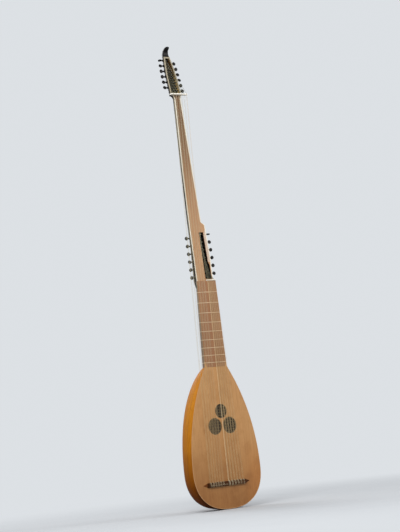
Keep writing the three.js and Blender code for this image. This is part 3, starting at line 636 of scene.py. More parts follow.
for rib in range(rib_count):
    rings = []
    for turn in bowl_turns:
        outer = [rib_point(turn, rib, share) for share in steps(rib_across)]
        inner = [rib_point(turn, rib, share, rib_thickness) for share in steps(rib_across)]
        rings.append(outer + inner[::-1])
    piece(f"rib_{rib + 1}", loft(rings), rib_wood, ["bowl"])
print("ribs:", rib_count)

# %% [markdown]
# ## Lines between the ribs
# A thin dark line of another wood fills each joint. A texture could paint it, but would
# have to follow every curve. So it is a strip that stands a hair proud of the ribs.

# %% Rib lines
line_width = 0.9 * mm
line_proud = 0.12 * mm
line_depth = 0.6 * mm
side_look = 0.01
lines = []
for joint in range(1, rib_count):
    angle = math.pi * joint / rib_count
    rings = []
    for turn in bowl_turns:
        place = bowl_point(turn, angle)
        beside = bowl_point(turn, angle + side_look) - bowl_point(turn, angle - side_look)
        across = beside.normalized() * line_width / 2
        within = (bowl_point(turn, angle, rib_thickness) - place).normalized()
        out, deep = -within * line_proud, within * line_depth
        rings.append([place - across + out, place + across + out,
                      place + across + deep, place - across + deep])
    lines.append(loft(rings))
piece("rib_lines", joined(lines), joint_wood, ["bowl"])
print("rib lines:", len(lines))

# %% [markdown]
# ## The wood of the soundboard
# Spruce is pale when new. This board is brown with handling, worn in clouds, spotted in
# patches, and warmer at the lower flank on the treble side. It is also painted darker
# towards its foot, which is painted shade. Each mark is a mask and a colour, laid one
# over the other like thin washes, of stain or of painted shade.

# %% Spruce
spruce = wood("spruce", (164, 114, 62), (206, 158, 102), (420, 60, 5),
              cloud=(9, 9, 3), gloss=(0.42, 0.56))
# Painted shade: the board is darker towards its foot, where less light falls.
spruce.stained_or_lit(spruce.mask("Z", 0.46, 0), (0.60, 0.49, 0.35))
worn = spruce.noise((7, 7, 5), 4, 0.7).ramp(0.52, 0.72)
spruce.stained_or_lit(worn * 0.5, (0.74, 0.68, 0.60))
patches = spruce.noise((30, 30, 22), 4, 0.6).ramp(0.44, 0.62)
spruce.stained_or_lit(patches * 0.5, (0.84, 0.78, 0.68))
flank_warmth = spruce.mask("X", 0.06, 0.17) * spruce.mask("Z", 0.36, 0.12)
spruce.stained_or_lit(flank_warmth * 0.6, (1.12, 0.92, 0.62))
edge_wood = wood("edge_wood", (164, 118, 74), (206, 160, 114), (300, 300, 30))
print("finishes of the soundboard: 2")

# %% [markdown]
# ## The soundboard
# Two halves of thin spruce, joined down the middle, with three round holes for the
# rose. It ends above in two points that lie beside the fingerboard. A Boolean could cut
# the holes, but a filled curve has them at once and keeps a clean edge.

# %% Soundboard
rose_low_radius = 37 * mm
rose_top_radius = 32 * mm
rose_low_x = rose_low_radius + 4 * mm
rose_box_low, rose_box_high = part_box("rose")
rose_lap = 6 * mm
rose_low_z = rose_box_low.z + rose_low_radius + rose_lap
rose_top_z = rose_box_high.z - rose_top_radius - rose_lap
rose_rounds = [
    (-rose_low_x, rose_low_z, rose_low_radius),
    (rose_low_x, rose_low_z, rose_low_radius),
    (0, rose_top_z, rose_top_radius),
]
board_back = face_y + 2 * mm
point_width = 11 * mm
point_reach = 26 * mm
point_top = joint_z + point_reach
half_nut = 52 * mm


def neck_half(z):
    """Half the width of the neck, which narrows from the body to the nut."""
    return mix(half_root, half_nut, (z - joint_z) / (neck_high.z - joint_z))


def circle(x, z, radius):
    return oval(Vector((x, z)), Vector((radius, 0)), Vector((0, radius)), 72)


point_side = [
    (neck_half(point_top), point_top),
    (half_root - 0.75 * point_width, joint_z + 0.35 * point_reach),
    (half_root - point_width, joint_z),
]
board_outline = mirrored(body_side(0) + point_side)
holes = [circle(*place) for place in rose_rounds]
piece("soundboard_sheet", plate(board_outline, holes, face_y, board_back),
      spruce, ["soundboard"])
print("soundboard outline has", len(board_outline), "points")

# %% [markdown]
# ## The edge of the soundboard
# A thin pale strip is let in all round, from neck to neck. A bevel of the board would
# have the board's finish, so it is a band between two outlines. The same helper draws
# the pale lines of the extension and the pegbox.

# %% Edge strip
edge_width = 1.6 * mm
hair = 0.1 * mm


def band(outer, inner, front, back):
    """A narrow flat strip between two open outlines with the same number of points."""
    rings = []
    for (x0, z0), (x1, z1) in zip(outer, inner):
        rings.append([(x0, front, z0), (x1, front, z1), (x1, back, z1), (x0, back, z0)])
    return loft(rings)


def round_tail(inset):
    """The body's outline from the neck on the left, round the tail, to the right."""
    side = body_side(inset)
    return mirrored(side)[len(side):] + side


edge = band(round_tail(-hair), round_tail(edge_width), face_y - hair, board_back)
piece("soundboard_edge", edge, edge_wood, ["soundboard"])
print("edge strip is", edge_width / mm, "mm wide")

# %% [markdown]
# ## The rose
# Three rounds of pierced lattice, darkened with age. Behind them lies a sheet painted
# nearly black, which is painted shade: it stands for the dark inside of the body seen
# through the holes, and is lighter behind the left round. A picture with clear squares
# would look flat from the side, so each lattice is a filled curve with many small holes.
# Those that meet the rim are cut off by it.

# %% Rose
lattice_wood = wood("lattice_wood", (62, 49, 26), (114, 96, 62), (500, 300, 40))
# Painted shade: a nearly black sheet behind the holes stands for the dark inside of the body.
rose_shade = wood("rose_shade", (10, 7, 4), (26, 18, 10), (90, 90, 90),
                 gloss=(0.6, 0.75), bump=0.00002)
rose_shade.stained_or_lit(rose_shade.mask("X", -0.005, -0.02), (4.5, 4, 5))
lattice_pitch = 12.4 * mm
lattice_bar = 4.0 * mm
lattice_back = face_y + 1.6 * mm
lattice_lap = 0.15 * mm
least_hole = 1.2 * mm
rose_rim = 2.2 * mm
backing_lap = 3 * mm
under_board = board_back + 0.05 * mm
backing_rear = board_back + 0.6 * mm


def pulled(corner, field):
    """A corner drawn back onto the rim when it lies beyond it."""
    share = min(1, field / math.hypot(*corner))
    return corner[0] * share, corner[1] * share


def lattice_holes(x, z, radius):
    """The square holes of a round."""
    field = radius - rose_rim
    half = (lattice_pitch - lattice_bar) / 2
    reach = math.ceil(field / lattice_pitch)
    middles = [i * lattice_pitch for i in range(-reach, reach + 1)]
    found = []
    for across in middles:
        for up in middles:
            corners = [(across - half, up - half), (across + half, up - half),
                       (across + half, up + half), (across - half, up + half)]
            if min(math.hypot(*corner) for corner in corners) <= field - least_hole:
                corners = [pulled(corner, field) for corner in corners]
                found.append([(x + a, z + b) for a, b in corners])
    return found


for number, (x, z, radius) in enumerate(rose_rounds, 1):
    rim = circle(x, z, radius - lattice_lap)
    lattice = plate(rim, lattice_holes(x, z, radius), face_y, lattice_back)
    piece(f"rose_lattice_{number}", lattice, lattice_wood, ["rose"])
    back = plate(circle(x, z, radius + backing_lap), [], under_board, backing_rear)
    piece(f"rose_backing_{number}", back, rose_shade, ["rose"])
print("rose rounds:", len(rose_rounds))

# %% [markdown]
# ## Bars, block and nail
# Under the soundboard run six bars of the same spruce. They are hardly ever seen, but
# the piece is right only when they are there. A box would do for that. A skin over
# rings lets them thin towards their ends as real ones do. The neck block and its nail
# keep the frame's shapes, and only their finish is new.

# %% Bars
soft_wood = wood("soft_wood", (150, 118, 74), (196, 166, 118), (220, 220, 6))
iron = wood("iron", (66, 62, 58), (112, 104, 96), (200, 200, 60), Metallic=1.0)
bar_height = 13 * mm
bar_half = 3 * mm
bar_end_gap = 12 * mm
bar_thinning = 0.72
bridge_low, bridge_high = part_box("bridge")
bridge_z = (bridge_low.z + bridge_high.z) / 2
block_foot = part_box("neck_block")[0].z
bar_places = [mix(foot_z, bridge_z, 0.48)]
bar_places += [mix(bridge_z, rose_box_low.z, share) for share in (0.27, 0.54, 0.84)]
bar_places += [mix(rose_box_high.z, block_foot, share) for share in (0.21, 0.73)]


def tail_share(share):
    """The superellipse of the tail: how far along one way for a share of the other."""
    return (1 - share ** tail_fullness) ** (1 / tail_fullness)


def half_width(z):
    """Half the body's width at any height."""
    if z >= widest_z:
        return flank(z)
    return half_body * tail_share((widest_z - z) / (widest_z - foot_z))


def bar(z):
    """A bar that thins towards its ends."""
    reach = half_width(z) - bar_end_gap
    low, high = z - bar_half, z + bar_half
    rings = []
    for share in steps(12):
        x = mix(-reach, reach, share)
        deep = board_back + bar_height * (1 - bar_thinning * abs(2 * share - 1) ** 4)
        shoulder = mix(under_board, deep, 0.8)
        rings.append([(x, under_board, low), (x, under_board, high), (x, shoulder, high),
                      (x, deep, z), (x, shoulder, low)])
    return loft(rings)


for number, z in enumerate(bar_places, 1):
    piece(f"bar_{number}", bar(z), soft_wood, ["soundboard"])
for node, finish in (("neck_block", soft_wood), ("neck_nail", iron)):
    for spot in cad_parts[node].material_slots:
        spot.material = finish.material
print("bars:", len(bar_places))

# %% [markdown]
# ## The end clasp
# Where the ribs meet at the tail, a strip of the same wood is bent over their ends. A
# flat strip could be shrunk onto them. Here its points are worked out instead: the
# height of the shell under a point is found by halving the step to it.

# %% End clasp
clasp_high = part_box("end_clasp")[1]
clasp_seat = Vector((0, 0, hair))
clasp_thickness = Vector((0, 0, 1.9 * mm))
clasp_edge = 0.5 * mm
halvings = 24


def tail_height(x, y):
    """The height of the shell at the tail, over a point of x and y."""
    low, high = 0, half_body
    for _ in range(halvings):
        half = (low + high) / 2
        behind = (y - rim_y) / bowl_depth(foot_z, half)
        outside = (abs(x) / half) ** bowl_fullness + behind ** bowl_fullness > 1
        low, high = (half, high) if outside else (low, half)
    return widest_z - (widest_z - foot_z) * tail_share(high / half_body)


clasp_rings = []
for share in steps(48):
    x = mix(-clasp_high.x, clasp_high.x, share)
    taper = 1 - abs(2 * share - 1) ** 8
    depth = (clasp_high.y - rim_y) * mix(0.55, 1, taper ** 0.5)
    line = [rim_y + depth * s for s in steps(6)]
    inner = [Vector((x, y, tail_height(x, y))) - clasp_seat for y in line]
    clasp_rings.append(inner[::-1] + [point - clasp_thickness for point in inner])
clasp = piece("clasp", loft(clasp_rings), rib_wood, ["end_clasp"])
rounded(clasp, clasp_edge)
print("clasp is", round(2 * clasp_high.x, 3), "m long")

# %% [markdown]
# ## The neck
# The neck is rounded behind, wider than deep, and gets thinner towards the nut. It
# could be carved from a block, but one section, flat in front and rounded behind,
# serves the extension and the pegbox too. Its wood is plain and brown.

# %% Neck
neck_wood = wood("neck_wood", (104, 80, 62), (146, 118, 96), (240, 240, 8))
back_fullness = 2.3
nut_z = neck_high.z
neck_front = neck_low.y
neck_root = neck_high.y - neck_front
neck_tip = neck_root - 12 * mm


def backed_ring(left, right, front, depth, z, fullness=back_fullness, count=28):
    """The flat front and rounded back that neck, extension and pegbox share."""
    ring = []
    for share in steps(count):
        across, behind = fuller(math.pi * share, fullness)
        x = (left + right) / 2 + (right - left) / 2 * across
        ring.append(Vector((x, front + depth * behind, z)))
    return ring


def neck_ring(z, margin=0, ahead=0, count=28):
    """The neck's section, grown by a margin at the sides and behind, and ahead in front."""
    half = neck_half(z) + margin
    depth = mix(neck_root, neck_tip, (z - joint_z) / (nut_z - joint_z))
    front = neck_front - ahead
    return backed_ring(-half, half, front, depth + margin + ahead, z, count=count)


neck_rings = [neck_ring(mix(neck_low.z, nut_z, share)) for share in steps(24)]
piece("neck_shaft", loft(neck_rings), neck_wood, ["neck"])
print("neck is", round(nut_z - joint_z, 3), "m long")

# %% [markdown]
# ## The fingerboard
# A flat board of harder wood, glued on the neck. Its lower end is cut out for the two
# points of the soundboard and reads their places, so that the two always fit. Fingers
# have rubbed it paler in streaks, which a colour above 1 gives.

# %% Fingerboard
board_wood = wood("board_wood", (126, 82, 50), (170, 121, 78), (300, 100, 14), contrast=0.8)
rubbed = board_wood.noise((40, 40, 12), 3).ramp(0.4, 0.7)
board_wood.stained_or_lit(rubbed * 0.5, (1.12, 1.14, 1.16))
glue_gap = 0.3 * mm
soft_edge = 0.4 * mm
board_front, board_rear = (corner.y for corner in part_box("fingerboard"))
finger_side = [(x, z + glue_gap) for x, z in reversed(point_side)]
finger_side.append((neck_half(nut_z), nut_z))
finger_sheet = plate(mirrored(finger_side), [], board_front, board_rear)
finger = piece("fingerboard_plate", finger_sheet, board_wood,
               ["fingerboard"])
rounded(finger, soft_edge)
print("fingerboard is", round(2 * neck_half(nut_z), 3), "m wide at the nut")

# %% [markdown]
# ## Frets
# Each fret is a length of gut, tied twice round the neck and drawn tight. Its knot sits
# at the bass edge, out of the hand's way. One plain ring would do from afar, but two
# strands and a knot catch the light as gut does.

# %% Frets
fret_gut = wood("fret_gut", (214, 190, 152), (244, 226, 194), (700, 700, 90),
                gloss=(0.35, 0.5), bump=0.00005)
fret_count = 9
fret_radius = 0.5 * mm
strand_shift = Vector((0, 0, 0.52 * mm))
fret_bend = 0.6 * mm
knot_shift = Vector((-0.2, 4, 0)) * mm
knot_turns = 2


def fret_strand(z):
    """The way round the back of the neck and over the fingerboard."""
    back = neck_ring(z, fret_radius, count=40)
    right, left = back[0].x, back[-1].x
    front = board_front - fret_radius
    climb = [Vector((left, mix(neck_front, front, s), z)) for s in (0.4, 0.8)]
    across = [Vector((mix(left + fret_bend, right - fret_bend, s), front, z)) for s in steps(6)]
    fall = [Vector((right, mix(neck_front, front, s), z)) for s in (0.8, 0.4)]
    return back + climb + across + fall


def knot(place):
    """Turns of gut round both strands."""
    points = []
    for share in steps(20):
        angle = 2 * math.pi * knot_turns * share
        turn = Vector((-0.5 * math.cos(angle) - 0.3, 2.2 * (share - 0.5), math.sin(angle)))
        points.append(place + turn * mm)
    return sweep(points, fret_radius * 0.8, 6)


for number in range(1, fret_count + 1):
    low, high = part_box(f"fret_{number}")
    z = (low.z + high.z) / 2
    strand = fret_strand(z)
    loops = [sweep([point + side * strand_shift for point in strand], fret_radius, closed=True)
             for side in (-1, 1)]
    knot_place = Vector((-neck_half(z) - fret_radius, neck_front, z)) + knot_shift
    piece(f"fret_{number}_gut", joined([*loops, knot(knot_place)]), fret_gut,
          [f"fret_{number}"])
print("frets:", fret_count)

# %% [markdown]
# ## The edges of the extension
# The second neck starts at the nut, holds the lower pegbox, steps in above it, and runs
# up narrow to the second nut, where a cove flares out to the upper pegbox. Its edges
# are straight between a few places, and its depth is a smooth curve through others, so
# a few numbers describe what would otherwise be modelled by hand.

# %% Extension's edges
ext_z = nut_z + glue_gap
ext_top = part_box("extension")[1].z
ext_front, ext_face_back = (corner.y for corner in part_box("extension_face"))
upper_low, upper_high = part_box("upper_pegbox")
cove_height = 19 * mm
cove_low = ext_top - cove_height
cove_depth = 27
left_places = [(0, -50), (250, -59), (500, -63), (824, -62)]
right_places = [(0, 43), (110, 40), (250, 29), (268, 10), (824, -28)]
depth_places = [(0, 46), (50, 41), (100, 36.5), (150, 33), (250, 30), (500, 25.5), (824, 24)]
step_length = 30


def edge_at(places, z):
    """Reads an edge off its places, in millimetres above the nut. A step is eased."""
    up = (z - nut_z) / mm
    for (low, a), (high, b) in zip(places, places[1:]):
        if up <= high:
            share = max(0, (up - low) / (high - low))
            if high - low < step_length:
                share = share * share * (3 - 2 * share)
            return mix(a, b, share) * mm
    return places[-1][1] * mm


def extension_edges(z):
    left, right = edge_at(left_places, z), edge_at(right_places, z)
    if z > cove_low:
        flare = 1 - math.sqrt(1 - min(1, (z - cove_low) / cove_height) ** 2)
        left = mix(left, upper_low.x, flare)
        right = mix(right, upper_high.x, flare)
    return left, right


print("extension is", round(ext_top - ext_z, 3), "m long")

# %% Extension's depth
def eased(a, b, rise_a, rise_b, t):
    """A share of the way from a to b, on a curve that starts and ends with its rises."""
    return (mix(a, b, t * t * (3 - 2 * t)) + (t ** 3 - 2 * t ** 2 + t) * rise_a
            + (t ** 3 - t ** 2) * rise_b)


def neighbours(points, i):
    """A point, the one before it and the two after it, as far as there are any."""
    return [points[min(max(k, 0), len(points) - 1)] for k in range(i - 1, i + 3)]


def smooth_read(places, at):
    """Reads a value off places by a curve that passes through them."""
    i = min(max(sum(1 for p in places if p[0] <= at) - 1, 0), len(places) - 2)
    p0, p1, p2, p3 = neighbours(places, i)
    width = p2[0] - p1[0]
    rise_1, rise_2 = (width * (b[1] - a[1]) / (b[0] - a[0]) for a, b in ((p0, p2), (p1, p3)))
    return eased(p1[1], p2[1], rise_1, rise_2, (at - p1[0]) / width)


def extension_depth(z):
    """How deep it is, thick where it is glued to the neck and thin above."""
    depth = smooth_read(depth_places, min((z - nut_z) / mm, depth_places[-1][0]))
    return mix(depth, cove_depth, max(0, (z - cove_low) / cove_height) ** 3) * mm


ups = [*range(15, 250, 15), *range(250, 269, 2), *range(290, 820, 30)]
ext_heights = [ext_z] + [nut_z + up * mm for up in ups]
ext_heights += [cove_low + cove_height * math.sin(math.pi / 2 * s) for s in steps(12)]
print("extension has", len(ext_heights), "sections")

# %% [markdown]
# ## Where the pegs stand
# Twelve pegs go through each pegbox, six with their heads on each side. Each is known
# by its number, the side of its head, the foot of the head on the cheek, and its length
# from there to its tip. They could be typed in, but read off the frame they stay on
# their hinges. A bore is a little wider than its shaft.

# %% Places of the pegs
Spot = namedtuple("Spot", "number sign foot length")
head_radius = 8.6 * mm
head_reach = 18 * mm
peg_count = 12
bore_mouth, bore_end = 4.8 * mm, 4.0 * mm
bore_air = 0.3 * mm
over = 6 * mm


def peg_spot(kind, number):
    low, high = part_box(f"{kind}_peg_{number + 1}")
    sign = 1 if (number % 2 == 1) == (kind == "lower") else -1
    reach = head_reach + head_radius
    x = high.x - reach if sign > 0 else low.x + reach
    foot = Vector((x, (low.y + high.y) / 2, (low.z + high.z) / 2))
    return Spot(number, sign, foot, high.x - low.x - reach)


def peg_ring(spot, out, wide, thick):
    """A ring round a peg's axis, some way out from the foot of its head."""
    return oval(spot.foot + Vector((spot.sign * out, 0, 0)), wide, thick)


def peg_bore(spot):
    profile = [(over, bore_mouth), (0, bore_mouth), (-spot.length - bore_air, bore_end)]
    return loft([peg_ring(spot, out, Vector((0, radius, 0)), Vector((0, 0, radius)))
                 for out, radius in profile])


lower_spots, upper_spots = ([peg_spot(kind, number) for number in range(peg_count)]
                            for kind in ("lower", "upper"))
print("lower pegs reach", round(lower_spots[0].length / mm, 1), "mm in")

# %% [markdown]
# ## Ebony, and the wood inside the pegboxes
# The veneer of the extension and the pegs are ebony, nearly black. The heads on the
# bass side of the lower pegbox are painted greyer, a painted sheen of the light on their
# flat faces. Their colour is many times the wood's own, because it multiplies something so
# dark. Nobody stains the inside of a pegbox: its floor is bare wood, grey with dust, and
# its cheeks are brown. The upper pegbox's lining is painted darker towards its top, which
# is painted shade.

# %% Ebony and lining
ebony = wood("ebony", (6, 5, 5), (20, 17, 16), (500, 500, 12),
             gloss=(0.36, 0.48), bump=0.00003, Specular_IOR_Level=0.22)
# Painted sheen: the bass-side heads of the lower pegbox are painted greyer.
bass_head_sheen = ebony.mask("X", -0.060, -0.064) * ebony.mask("Z", 1.27, 1.25)
ebony.stained_or_lit(bass_head_sheen * ebony.mask("Z", 1.0, 1.02), (9, 11, 10.5))
lining_wood = wood("lining_wood", (88, 90, 68), (126, 126, 98), (300, 200, 20))
lining_side = lining_wood.node("ShaderNodeTexCoord", output="Normal")
lining_wood.stained_or_lit(lining_wood.axis("X", lining_side).ramp(-0.4, -0.8), (2.3, 1.5, 0.9))
# Painted shade: the lining darkens towards the top of the upper pegbox.
lining_wood.stained_or_lit(lining_wood.mask("Z", 1.925, 1.985), (0.30, 0.22, 0.14))
print("finishes of the pegboxes: 2")

# %% [markdown]
# ## The back of the extension
# The rounded back laps down round the neck as a thin lip. The neck, the slot of the
# lower pegbox and the pegs' bores cross each other inside it, which only a Boolean can
# cut with little work. A thin skin on the slot's floor carries the bare wood.

# %% Extension's back
ext_core_y = ext_face_back + glue_gap
ext_fullness = 2.6
slot_low_z = nut_z + 9 * mm
slot_high_z = nut_z + 219.7 * mm
slot_low_edges = (1 * mm, 36 * mm)
slot_high_edges = (-9 * mm, 15 * mm)
slot_step_edges = (32.5 * mm, 25 * mm)
slot_step_z = [mix(slot_low_z, slot_high_z, share) for share in (0.3, 0.36)]
slot_back = ext_front + 23 * mm
scarf_low = nut_z - 30 * mm
scarf_lip = 1.1 * mm
floor_inset = 0.2 * mm
floor_skin = 0.4 * mm


def slot_outline(margin=0):
    """The slot's outline. Low down its thin side steps out to the edge."""
    low, high = slot_low_edges, slot_high_edges
    thin_side = zip([low[1], *slot_step_edges, high[1]],
                    [slot_low_z, *slot_step_z, slot_high_z])
    return [(low[0] - margin, slot_low_z), *((x + margin, z) for x, z in thin_side),
            (high[0] - margin, slot_high_z)]


def prism(outline, back, front):
    """A straight block over an outline in x and z."""
    return loft([[(x, y, z) for x, z in outline] for y in (back, front)])


scarf = neck_ring(scarf_low, scarf_lip)
neck_space = loft([neck_ring(z, hair, hair) for z in (scarf_low - over, ext_z)])
back_rings = []
for z in ext_heights:
    depth = extension_depth(z) - (ext_core_y - ext_front)
    back_rings.append(backed_ring(*extension_edges(z), ext_core_y, depth, z, ext_fullness))
lap = [[a.lerp(b, share) for a, b in zip(scarf, back_rings[0])] for share in steps(6)[:-1]]
cutters = [neck_space, prism(slot_outline(), slot_back, ext_front - over)]
cutters += [peg_bore(spot) for spot in lower_spots]
piece("extension_back", carved(loft(lap + back_rings), cutters), ebony,
      ["extension"])
floor_back = slot_back - hair
slot_floor = plate(slot_outline(-floor_inset), [], floor_back - floor_skin, floor_back)
piece("slot_floor", slot_floor, lining_wood, ["extension"])
print("slot is", round((slot_high_z - slot_low_z) / mm), "mm long")

# %% [markdown]
# ## The face of the extension
# A light board between two lines of bone covers the front. It darkens upwards. The
# lines share the board's edges, so no gap can open between them. Beside the slot's
# narrow part the cheek shows a paler wood, which is a skin as thin as a hair.

# %% Extension's face
face_wood = wood("face_wood", (158, 112, 72), (194, 150, 106), (420, 100, 7))
face_wood.stained_or_lit(face_wood.mask("Z", 1.25, 1.75), (0.37, 0.32, 0.22))
cheek_wood = wood("cheek_wood", (178, 152, 130), (206, 184, 164), (420, 100, 9))
bone = wood("bone", (204, 194, 172), (236, 228, 210), (300, 300, 30),
            gloss=(0.28, 0.4), bump=0.00002)
bone_width = 4.6 * mm
bone_proud = 0.15 * mm
slot_lip = 0.4 * mm
outer_left, outer_right = ([(extension_edges(z)[side], z) for z in ext_heights]
                           for side in (0, 1))
inner_left = [(x + bone_width, z) for x, z in outer_left]
inner_right = [(x - bone_width, z) for x, z in outer_right]
face = plate(inner_right + inner_left[::-1], [slot_outline(slot_lip)], ext_front,
             ext_face_back)
piece("extension_plate", face, face_wood, ["extension_face"])
for name, outer, inner in (("left", outer_left, inner_left),
                           ("right", outer_right, inner_right)):
    line = band(outer, inner, ext_front - bone_proud, ext_face_back)
    piece(f"edge_line_{name}", line, bone, ["extension_face"])
print("face is", round((inner_right[0][0] - inner_left[0][0]) / mm), "mm wide at its foot")

# %% Cheek beside the slot
cheek_gap = 0.5 * mm
cheek_end = 8 * mm
cheek_taper = 0.9
cheek_foot = slot_step_z[1]
cheek_inner, cheek_outer = [], []
for share in steps(12):
    z = mix(cheek_foot, slot_high_z + cheek_end, share)
    along_slot = (z - cheek_foot) / (slot_high_z - cheek_foot)
    inner = mix(slot_step_edges[1], slot_high_edges[1], along_slot) + cheek_gap
    outer = extension_edges(z)[1] - bone_width
    cheek_inner.append((mix(inner, outer, 8 * max(0, share - cheek_taper)), z))
    cheek_outer.append((outer, z))
cheek = band(cheek_outer, cheek_inner, ext_front - hair, ext_front + hair)
piece("slot_cheek", cheek, cheek_wood, ["extension_face"])
print("cheek is", round((cheek_outer[-1][1] - cheek_foot) / mm), "mm long")

# %% [markdown]
# ## The upper pegbox
# It leans back from the second nut. It is open in front and closed behind, and gets
# narrower to its tip. It is made upright at the origin and then leaned in one go, so
# the pegs' bores, which are found in the frame, are leaned back before they cut.

# %% Upper pegbox
pegbox_lean = math.radians(12.5)
nut2_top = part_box("upper_nut")[1].z
pegbox_x = (upper_low.x + upper_high.x) / 2
pegbox_frame = Matrix.Translation((pegbox_x, ext_front, nut2_top))
pegbox_frame = pegbox_frame @ Matrix.Rotation(-pegbox_lean, 4, "X")
pegbox_half = (upper_high.x - upper_low.x) / 2
pegbox_length = 183.5 * mm
pegbox_depth = 30 * mm
pegbox_tip_share = 0.833
pegbox_shape = [(0, 1), (0.17, 0.985), (0.5, 0.92), (0.727, 0.81), (0.87, 0.68), (1, 0.54)]
hollow_back = 17.5 * mm
hollow_foot = 4 * mm
hollow_head = pegbox_length - 7 * mm
cheek_thickness = 8 * mm


def box_half(up):
    return pegbox_half * smooth_read(pegbox_shape, up / pegbox_length)


def leaning(mesh):
    mesh.transform(pegbox_frame)
    return mesh


def hollow(back, front, inset=0):
    """The pegbox's hollow between two depths, drawn in all round by an inset."""
    ups = [mix(hollow_foot + inset, hollow_head - inset, share) for share in steps(20)]
    side = [(box_half(up) - cheek_thickness - inset, up) for up in ups]
    return prism(mirrored(side), back, front)


pegbox_rings = []
for share in steps(30):
    up = max(share * pegbox_length, glue_gap)
    depth = pegbox_depth * mix(1, pegbox_tip_share, share)
    pegbox_rings.append(backed_ring(-box_half(up), box_half(up), 0, depth, up))
upper_bores = [peg_bore(spot) for spot in upper_spots]
for bore in upper_bores:
    bore.transform(pegbox_frame.inverted())
cheeks = leaning(carved(loft(pegbox_rings), [hollow(hollow_back, -over), *upper_bores]))
piece("pegbox_cheeks", cheeks, ebony, ["upper_pegbox"])
print("pegbox is", pegbox_length, "m long")

# %% [markdown]
# ## Inside the upper pegbox
# A thin skin of bare wood lines the hollow and has the pegs' holes cut through it. The
# cheeks could have two finishes, but their holes would then be hard to keep apart. The
# skin keeps a tiny gap to the walls, so that the two never fight for the same pixels.

# %% Lining
lining_gap = 0.02 * mm
lining_skin = 0.4 * mm
lining_front = 1 * mm
lining_shell = hollow(hollow_back - lining_gap, lining_front, lining_gap)
lining_air = hollow(hollow_back - lining_skin, -over, lining_skin)
lining = leaning(carved(lining_shell, [lining_air, *upper_bores]))
piece("pegbox_lining", lining, lining_wood, ["upper_pegbox"])
print("lining is", round((hollow_head - hollow_foot) / mm), "mm long")

# %% [markdown]
# ## The rims of the upper pegbox
# A strip of pale wood is glued on the front of both cheeks and over the tip. It could
# be a solid with the hollow cut out, but one mirrored band is less work.

# %% Rims
rim_wood = wood("rim_wood", (132, 122, 100), (172, 162, 138), (300, 300, 12))
rim_width = 6.6 * mm
rim_foot = 1 * mm
rim_front, rim_back = -0.8 * mm, 0.4 * mm
rim_ups = [mix(rim_foot, pegbox_length, share) for share in steps(24)]
rim_outer = [(box_half(up), up) for up in rim_ups]
rim_inner = [(x - rim_width, min(up, pegbox_length - rim_width)) for x, up in rim_outer]
rims = leaning(band(mirrored(rim_outer), mirrored(rim_inner), rim_front, rim_back))
piece("pegbox_rim", rims, rim_wood, ["upper_pegbox"])
print("rims are", rim_width / mm, "mm wide")

# %% [markdown]
# ## The finial
# The pegbox ends in a tongue of ebony that arches forward and gets narrower and thinner
# to a blunt tip. A straight block could be bent by a modifier. Sections that stand
# square to an ellipse keep its thickness in hand.

# %% Finial
finial_height = 43 * mm
finial_reach = 38 * mm
finial_end = math.radians(120)
finial_root = pegbox_tip_share * pegbox_depth
finial_narrowing, finial_thinning = 0.47, 0.4
finial_blunting = 0.3
finial_rings = []
for share in steps(36):
    angle = finial_end * share
    blunt = mix(finial_blunting, 1, math.sqrt(max(0, 1 - share ** 8)))
    width = box_half(pegbox_length) * mix(1, finial_narrowing, share) * blunt
    whole = finial_root * mix(1, finial_thinning, share)
    depth = whole * blunt
    outward = Vector((0, finial_height * math.cos(angle), finial_reach * math.sin(angle)))
    outward.normalize()
    place = Vector((0, finial_root - finial_reach * (1 - math.cos(angle)),
                    pegbox_length + glue_gap + finial_height * math.sin(angle)))
    place -= outward * (whole + depth) / 2
    section = backed_ring(-width, width, 0, depth, 0)
    finial_rings.append([place + outward * p.y + Vector((p.x, 0, 0)) for p in section])
piece("finial_curl", leaning(loft(finial_rings)), ebony, ["finial"])
print("finial reaches", round(finial_reach / mm), "mm forward")

# %% [markdown]
# ## Nuts
# The strings rest on two nuts of bone, which are rounded in front and nearly white. A
# box with one edge bevelled would look alike from afar, but the round has to be smooth
# where strings cross it, so it is a section that is drawn out along x.

# %% Nuts
nut_bone = wood("nut_bone", (240, 234, 220), (255, 252, 244), (300, 300, 30),
                gloss=(0.28, 0.4), bump=0.00002)
for node, round_over in (("lower_nut", 1.6 * mm), ("upper_nut", 2.2 * mm)):
    low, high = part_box(node)
    middle, half = (low.z + high.z) / 2, (high.z - low.z) / 2
    section = [(high.y, low.z), (high.y, high.z)]
    for s in steps(8):
        angle = math.pi * s
        section.append((low.y + round_over * (1 - math.sin(angle)),
                        middle + half * math.cos(angle)))
    rings = [[(mix(low.x, high.x, share), y, z) for y, z in section] for share in steps(40)]
    nut = piece(f"{node}_bone", loft(rings), nut_bone, [node])
    rounded(nut, soft_edge)
    print(node, "is", round((high.x - low.x) / mm), "mm wide")

# %% [markdown]
# ## Pegs
# A peg is turned with a tapered shaft and a collar, and its head is a flat round leaf
# that two fingers can grip. A lathed profile can't be flat, so the whole peg is one
# skin over oval rings along its axis. Each head stands a little its own way, as on
# strings that are tuned.

# %% Sections of a peg
head_half = 3.3 * mm
stem_radius = 3.1 * mm
shaft_radius = 4.4 * mm
tip_radius = 3 * mm
peg_taper = 0.015
tip_bevel = 0.7 * mm
tip_narrowing = 0.7
leaf_foot, leaf_tip = 0.13, 0.985
leaf_fullness = 1.25
leaf_round = 0.6
stem_blend = 0.25
collar = [(0.35, 4.4), (0.35, 5.0), (0.7, 5.4), (1.5, 5.4), (2.4, 5.2), (2.9, 4.6), (3.3, 4.2),
          (4.3, 3.7), (6.0, 3.2), (8.0, 3.1)]


def shaft_at(distance):
    """The radius of the tapered shaft, some way in from the cheek."""
    return max(tip_radius, shaft_radius - peg_taper * distance)


